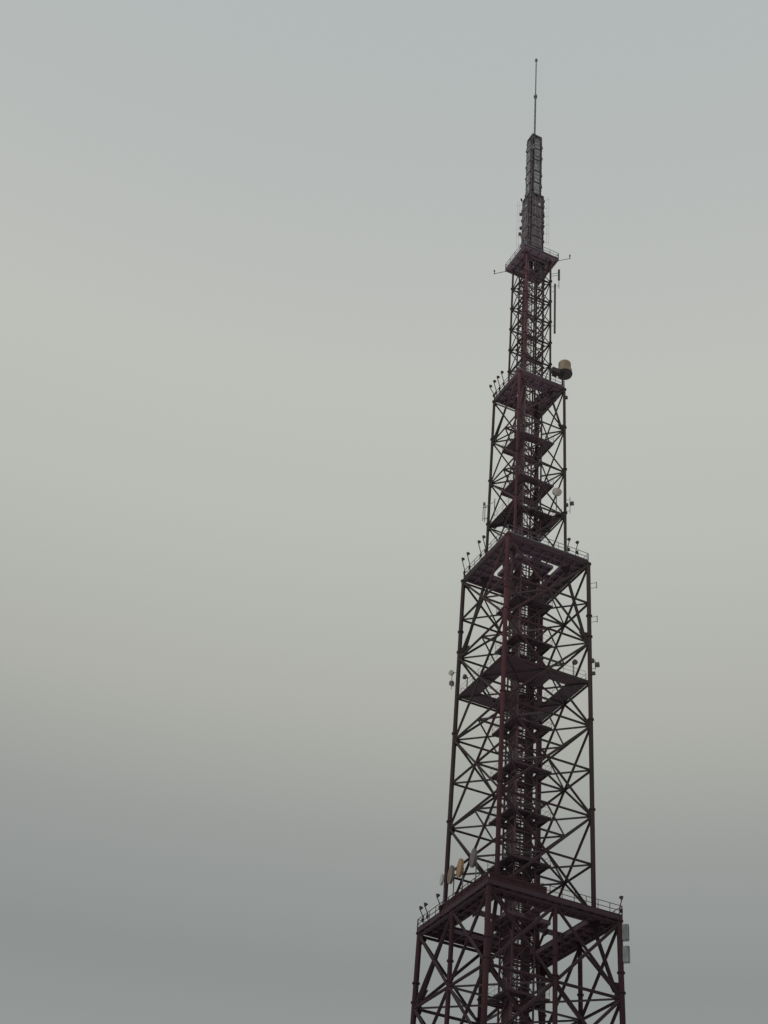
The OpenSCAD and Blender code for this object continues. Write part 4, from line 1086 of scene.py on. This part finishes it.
tan_cover = finish_material(
    "tan_cover", weathered_cover, gloss=0.2, bump=0.25, depth=0.0006,
    Pale=(0.182, 0.134, 0.088), Dull=(0.125, 0.096, 0.064), Grime=(0.060, 0.055, 0.036),
    Dirt=0.65, Patch=0.05, Cap=no_cap,
)
dress(tan_cover, "radome")
dress(gear_paint, "antennas")
x, y, foot, radius = 0.340, -0.340, 13.8475, 0.082
crown, crown_rim, waist = 0.1274, 0.022, 0.060
rib_line = [(radius + 0.0004, 0.004), (radius + 0.0004, 0.108)]
rib_line += [(radius - 0.005, 0.120), (radius - 0.018, crown), (crown_rim, crown)]
ribs = []
for i in range(16):
    angle = 2 * math.pi * i / 16
    along = Vector((math.cos(angle), math.sin(angle), 0))
    hub = Vector((x, y, foot))
    ribs.append([0.8] + [tuple(hub + along * out + Vector((0, 0, rise))) for out, rise in rib_line])
ribs.append([0.7] + ring((x, y, foot + waist), radius + 0.0006, 48))
ribs.append([0.8] + ring((x, y, foot + crown), crown_rim, 48))
tubes("radome_ribs", ribs, tan_cover, "radome_cover", radius=0.0016, sides=6)
skirt_foot = foot - 0.068
skirt = [(0, 0), (0.0960, 0), (0.0960, 0.064), (0.0935, 0.0695), (0.0850, 0.0715), (0, 0.0715)]
lathe("radome_skirt", skirt, (x, y, skirt_foot), straight_up, tan_cover, sides=72)
flange = [(0, -0.004), (0.1020, -0.004), (0.1030, -0.003), (0.1030, 0.003)]
flange += [(0.1020, 0.004), (0.0965, 0.004), (0, 0.004)]
lathe("radome_flange", flange, (x, y, skirt_foot), straight_up, gear_paint, sides=72)
bolt_circle, bolt_rise = 0.0993, 0.0052
bolts, looks = [], []
for i in range(24):
    angle = 2 * math.pi * (i + 0.5) / 24
    bolt_x, bolt_y = x + bolt_circle * math.cos(angle), y + bolt_circle * math.sin(angle)
    for way in (-1, 1):
        bolts.append((bolt_x, bolt_y, skirt_foot + way * bolt_rise))
        looks.append((0, 0, way))
pegs("radome_bolts", bolts, looks, bolt_paint, "radome_cover", radius=0.0024, depth=0.0032, sides=6)
band_radius = 0.0946
bands = [[thick] + ring((x, y, z), band_radius, 60) for z, thick in ((13.759, 1.0), (13.768, 0.7))]
tubes("drum_bands", bands, gear_paint, "leg_paint", radius=0.0026, sides=4)
hatch_and_box = [
    ((x, y, 13.7535), (0.070, 0.070, 0.006), math.radians(30)),
    ((x - 0.158, y - 0.0265, 13.728), (0.110, 0.066, 0.072), 0.0),
    ((x - 0.100, y - 0.010, 13.760), (0.060, 0.040, 0.030), 0.0),
]
boxes("drum_hatch", hatch_and_box, gear_paint, bevel=0.0012)

# Dishes. Microwave dishes behind covers of stretched cloth and glass fibre, on posts behind the railing of
# the first platform and on the walkways. Each has kept or lost its colour in its own way, from orange to
# pale grey. A clamp rim with bolts holds each cover, and the rusty mount shows behind.

mount_steel = finish_material(
    "mount_steel", dull_zinc, metallic=0.1, bump=0.15, depth=0.0004,
    Light=(0.13, 0.125, 0.12), Dark=(0.06, 0.055, 0.055), Rust=(0.10, 0.045, 0.025), Rusting=0.08,
)
dress(mount_steel, "dishes")
cover_colours = {
    "orange": ((0.180, 0.110, 0.049), (0.128, 0.082, 0.042)),
    "tan": ((0.108, 0.078, 0.060), (0.078, 0.058, 0.046)),
    "pale": ((0.24, 0.24, 0.23), (0.185, 0.182, 0.174)),
    "pinkish": ((0.086, 0.066, 0.065), (0.062, 0.048, 0.047)),
    "cream": ((0.30, 0.27, 0.235), (0.20, 0.17, 0.14)),
    "olive": ((0.19, 0.198, 0.145), (0.13, 0.128, 0.092)),
    "maroon": ((0.060, 0.040, 0.044), (0.040, 0.028, 0.030)),
    "slate": ((0.046, 0.048, 0.054), (0.032, 0.033, 0.037)),
}
half, deck_top = decks["base"]
post_x, post_z = -half * 0.863, deck_top + 0.410
third = decks["middle"][0]
walk_low = crossing(lower, 2) + walkway_top
walk_mid = level(middle, 1) + walkway_top
walk_edge = half_at(lower, lower["head"] - 1.600) - 0.070
left_leg, right_leg = (-1, 1), (1, -1)
rim_bolt_back, rim_bolt_out = 0.0025, 0.0044


def beside(way, section, start, run, up, out):
    """Middle of a small dish on a tube beside a leg, counted as the leg's own clamps are."""
    s = leg_sections[section]
    reach = half_at(s, s["foot"] + start + run / 2) * math.sqrt(2) + s["leg"] / 2 + out
    return (way[0] * reach * math.sqrt(0.5), way[1] * reach * math.sqrt(0.5), s["foot"] + start + up)


upper_seat = beside(left_leg, "lower", 2.880, 0.260, 0.212, 0.050)
under_seat = beside(left_leg, "lower", 2.880, 0.260, 0.090, 0.050)
lower_drum = beside(right_leg, "lower", 2.920, 0.130, 0.062, 0.036)
middle_drum = beside(right_leg, "middle", 0.760, 0.251, 0.148, 0.044)
left_edge, right_edge = (-walk_edge, walk_edge * 0.93), (walk_edge * 0.78, -walk_edge)
dish_rows = [
    ("first_dish", "pinkish", (post_x, -0.4 * half, post_z), 168, 0.186, 0.026, 0.020),
    ("second_dish", "orange", (post_x, -0.03 * half, post_z), 168, 0.186, 0.026, 0.020),
    ("third_dish", "tan", (post_x, 0.23 * half, post_z), 168, 0.186, 0.026, 0.020),
    ("fourth_dish", "pale", (post_x, 0.51 * half, deck_top + 0.4346), 168, 0.1116, 0.0182, 0.020),
    ("middle_dish", "cream", (third * 0.84, -third * 0.7, walk_mid + 0.3608), 250, 0.112, 0.026, 0.020),
    ("walkway_dish_left", "maroon", (*left_edge, walk_low + 0.205), 180, 0.056, 0.028, 0.020),
    ("walkway_dish_right", "maroon", (*right_edge, walk_low + 0.195), 270, 0.056, 0.028, 0.020),
    ("leg_dish_upper", "olive", upper_seat, 135 + 75, 0.056, 0.028, 0.0),
    ("leg_dish_under", "maroon", under_seat, 135 - 75, 0.056, 0.028, 0.0),
    ("leg_drum_lower", "maroon", lower_drum, -45, 0.056, 0.0448, 0.0),
    ("leg_drum_middle", "slate", middle_drum, -45, 0.0504, 0.0448, 0.0),
]
bolts, looks = [], []
for title, colour, centre, turn, across, deep, stand in dish_rows:
    pale, dull = cover_colours[colour]
    cover = finish_material(
        colour + "_cover_" + title, weathered_cover, gloss=0.2, bump=0.2, depth=0.0005,
        Pale=pale, Dull=dull, Grime=tuple(0.45 * value for value in dull), Dirt=0.4, Patch=0.045, Cap=no_cap,
    )
    r, front = across / 2, stand + deep
    shell = [(0, stand - 0.012 * r / 0.093), (r * 0.55, stand - 0.006 * r / 0.093)]
    shell += [(r + 0.0012, stand + 0.001), (r + 0.0012, front - 0.006), (r + 0.0034, front - 0.005)]
    shell += [(r + 0.0034, front), (r - 0.002, front + 0.0012), (r * 0.6, front + 0.07 * r)]
    shell += [(r * 0.3, front + 0.095 * r), (0, front + 0.10 * r)]
    aim = Vector((math.cos(math.radians(turn)), math.sin(math.radians(turn)), 0))
    lathe(title, shell, centre, aim, cover)
    aside = Vector((-aim.y, aim.x, 0))
    count = 16 if across > 0.1 else 8
    for i in range(count):
        angle = 2 * math.pi * i / count
        out = aside * math.cos(angle) + Vector((0, 0, math.sin(angle)))
        bolts.append(tuple(Vector(centre) + aim * (front - rim_bolt_back) + out * (r + rim_bolt_out)))
        looks.append(tuple(out))
pegs("dish_rim_bolts", bolts, looks, mount_steel, "radome_cover", radius=0.0019, depth=0.0030, sides=6)

# Flat antennas and small sets on the legs. The two flat antennas on the base section have pale grey covers
# that are screwed to a tray against the leg. Dipoles, rods and boxes stand on short arms, clamped to the
# legs where they have a clear view.

flat_cover = finish_material(
    "flat_cover", weathered_cover, bump=0.2, depth=0.0004,
    Pale=(0.145, 0.152, 0.138), Dull=(0.088, 0.090, 0.082), Grime=(0.035, 0.033, 0.032),
    Dirt=0.8, Patch=0.05, Cap=no_cap,
)
flat_height, flat_wide, cover_over, cover_drop = 0.112, 0.0435, 0.054, 0.025
leg_gap, flat_back, flat_front = 0.0005, 0.004, 0.0625
screw_rises, screw_back, screw_side = (0.012, 0.056, 0.100), 0.018, 0.0224
flats, screws, looks = [], [], []
for foot in (base["head"] - 0.162, base["head"] - 0.386):
    reach = half_at(base, foot) * math.sqrt(2) + base["leg"] / 2 + leg_gap
    start, end = reach - flat_back, reach + flat_front
    offset = (start + end) / 2 * math.sqrt(0.5)
    centre = (offset, -offset, foot + flat_height / 2 - cover_drop)
    flats.append((centre, (end - start, flat_wide, flat_height + cover_over), -math.pi / 4))
    for rise in screw_rises:
        for side in (-1, 1):
            x, y = end - screw_back, side * screw_side
            screws.append(((x + y) * math.sqrt(0.5), (y - x) * math.sqrt(0.5), foot + rise))
            looks.append((side * math.sqrt(0.5), side * math.sqrt(0.5), 0))
boxes("flat_covers", flats, flat_cover, bevel=0.005)
pegs("flat_screws", screws, looks, mount_steel, "antenna_cover", radius=0.0022, depth=0.0024, sides=8)


def on_leg(title, way, z, out):
    """A point beside a leg, so far out of the corner."""
    x = half_at(leg_sections[title], z) + out * math.sqrt(0.5)
    return (way[0] * x, way[1] * x, z)


arm_foot, arm_tip, arm_rise, rod_half = 0.024, 0.094, 0.034, 0.045
whip, whip_ends = (-0.350, 0.186), (11.470, 11.735)
rods = []
for z in (10.298, 9.821):
    for rise in (-arm_rise, arm_rise):
        rods.append([0.7] + [on_leg("lower", right_leg, z + rise, out) for out in (arm_foot, arm_tip)])
    rods.append([1.2] + [on_leg("lower", right_leg, z + rise, arm_tip) for rise in (-rod_half, rod_half)])
rods.append([1.4] + [(*whip, z) for z in whip_ends])
rods.append([0.8, on_leg("middle", left_leg, 11.720, 0.070), (*whip, 11.690)])
rods.append([3.6, on_leg("middle", left_leg, 11.757, 0.064), on_leg("middle", left_leg, 11.797, 0.066)])
tubes("leg_sets", rods, mount_steel, "galvanised", radius=0.0042, sides=8)
box_rows = [
    ("lower", 9.262, 0.034, (0.030, 0.036, 0.044)),
    ("lower", 9.094, 0.040, (0.040, 0.030, 0.036)),
    ("middle", 13.350, 0.030, (0.028, 0.034, 0.040)),
    ("middle", 11.560, 0.028, (0.024, 0.030, 0.040)),
]
leg_boxes = [(on_leg(title, right_leg, z, out), size, -math.pi / 4) for title, z, out, size in box_rows]
boxes("leg_boxes", leg_boxes, gear_paint, bevel=0.0016)

# Ground and daylight. The mast stands in flat, soft light from all round, a little stronger from the
# picture's left. The floor is plain and pale and keeps the shadow. The backdrop, which only the camera and
# reflections see, is graded in pale greys.

floor_radius, floor_sides = 400, 96
ground = bpy.data.materials.new("pale_ground")
ground.use_nodes = True
tree = ground.node_tree
place = put(tree, "ShaderNodeTexCoord", output="Object")
cloud = place.noise(0.6, 6.0, 0.6).between(0.3, 0.7)
colour = cloud.mix((0.742, 0.745, 0.738, 1), (0.762, 0.762, 0.754, 1))
surface = tree.nodes["Principled BSDF"].inputs
tree.links.new(colour.socket, surface["Base Color"])
surface["Roughness"].default_value = 0.9
floor_drop = -0.001
angles = [2 * math.pi * i / floor_sides for i in range(floor_sides)]
rim = [(floor_radius * math.cos(angle), floor_radius * math.sin(angle), floor_drop) for angle in angles]
mesh = bpy.data.meshes.new("ground")
mesh.from_pydata(rim, [], [tuple(range(floor_sides))])
mesh.materials.append(ground)
floor = bpy.data.objects.new("ground", mesh)
bpy.context.scene.collection.objects.link(floor)
floor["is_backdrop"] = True

world = bpy.data.worlds.new("studio")
bpy.context.scene.world = world
world.use_nodes = True
tree = world.node_tree
lit = tree.nodes["Background"]
daylight, daylight_strength = (0.92, 0.97, 1.0, 1), 0.9
lit.inputs["Color"].default_value = daylight
lit.inputs["Strength"].default_value = daylight_strength
height = put(tree, "ShaderNodeTexCoord", output="Generated").split()[2]
graded = put(tree, "ShaderNodeValToRGB", {0: height})
stops = [
    (0.0, (0.80, 0.83, 0.83)), (0.05, (0.77, 0.80, 0.80)), (0.27, (0.305, 0.322, 0.318)),
    (0.35, (0.268, 0.288, 0.282)), (0.43, (0.325, 0.336, 0.325)), (0.50, (0.413, 0.423, 0.386)),
    (0.60, (0.485, 0.497, 0.465)), (0.68, (0.510, 0.520, 0.488)), (0.78, (0.465, 0.488, 0.480)),
    (0.90, (0.420, 0.480, 0.475)),
]
band = graded.socket.node.color_ramp.elements
for i, (position, colour) in enumerate(stops):
    stop = band[i] if i < 2 else band.new(position)
    stop.position = position
    stop.color = (*colour, 1)
seen = put(tree, "ShaderNodeBackground", {"Color": graded, "Strength": 1.0})
kinds = ("Is Camera Ray", "Is Glossy Ray", "Is Transmission Ray")
camera_ray, glossy_ray, clear_ray = [put(tree, "ShaderNodeLightPath", output=kind) for kind in kinds]
plain = camera_ray.step("MAXIMUM", glossy_ray).step("MAXIMUM", clear_ray)
both = put(tree, "ShaderNodeMixShader", {0: plain, 1: Value(tree, lit.outputs[0]), 2: seen})
tree.links.new(both.socket, tree.nodes["World Output"].inputs["Surface"])

sun = bpy.data.lights.new("soft_sun", "SUN")
sun.energy = 1.1
sun.angle = 0.6
sun.color = (1.0, 0.97, 0.93)
sun = bpy.data.objects.new("soft_sun", sun)
bpy.context.scene.collection.objects.link(sun)
sun.rotation_euler = Vector((1.0, 0.25, -0.75)).to_track_quat("-Z", "Y").to_euler()

# Camera. The picture was taken close to the mast from eye height, looking well up. So the camera stands low,
# 14.5 m from the lift shaft, and is tilted and rolled as the corners of the decks show.

reach_to_mast = 14.5
eye_height = 0.16
lens_mm = 52.06
tilt = 0.6599992
roll = 0.0964504
swing = 0.1214818
turn = -0.2728332 + math.pi / 4
flat = Vector((-math.sin(swing), math.cos(swing), 0))
ahead = math.cos(tilt) * flat + math.sin(tilt) * Vector((0, 0, 1))
overhead = -math.sin(tilt) * flat + math.cos(tilt) * Vector((0, 0, 1))
across = Vector((math.cos(swing), math.sin(swing), 0))
right = math.cos(roll) * across + math.sin(roll) * overhead
up = math.cos(roll) * overhead - math.sin(roll) * across
to_row = Matrix.Rotation(-turn, 3, "Z")
right, up, ahead = to_row @ right, to_row @ up, to_row @ ahead
camera = bpy.data.cameras.new("photo_camera")
camera.lens = lens_mm
camera.sensor_width = 36
camera.clip_end = 1000
camera = bpy.data.objects.new("photo_camera", camera)
bpy.context.scene.collection.objects.link(camera)
pose = Matrix((right, up, -ahead)).transposed().to_4x4()
pose.translation = to_row @ Vector((0, -reach_to_mast, 0)) + Vector((0, 0, eye_height))
camera.matrix_world = pose
bpy.context.scene.camera = camera
bpy.context.scene.view_settings.view_transform = "Standard"

low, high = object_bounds()
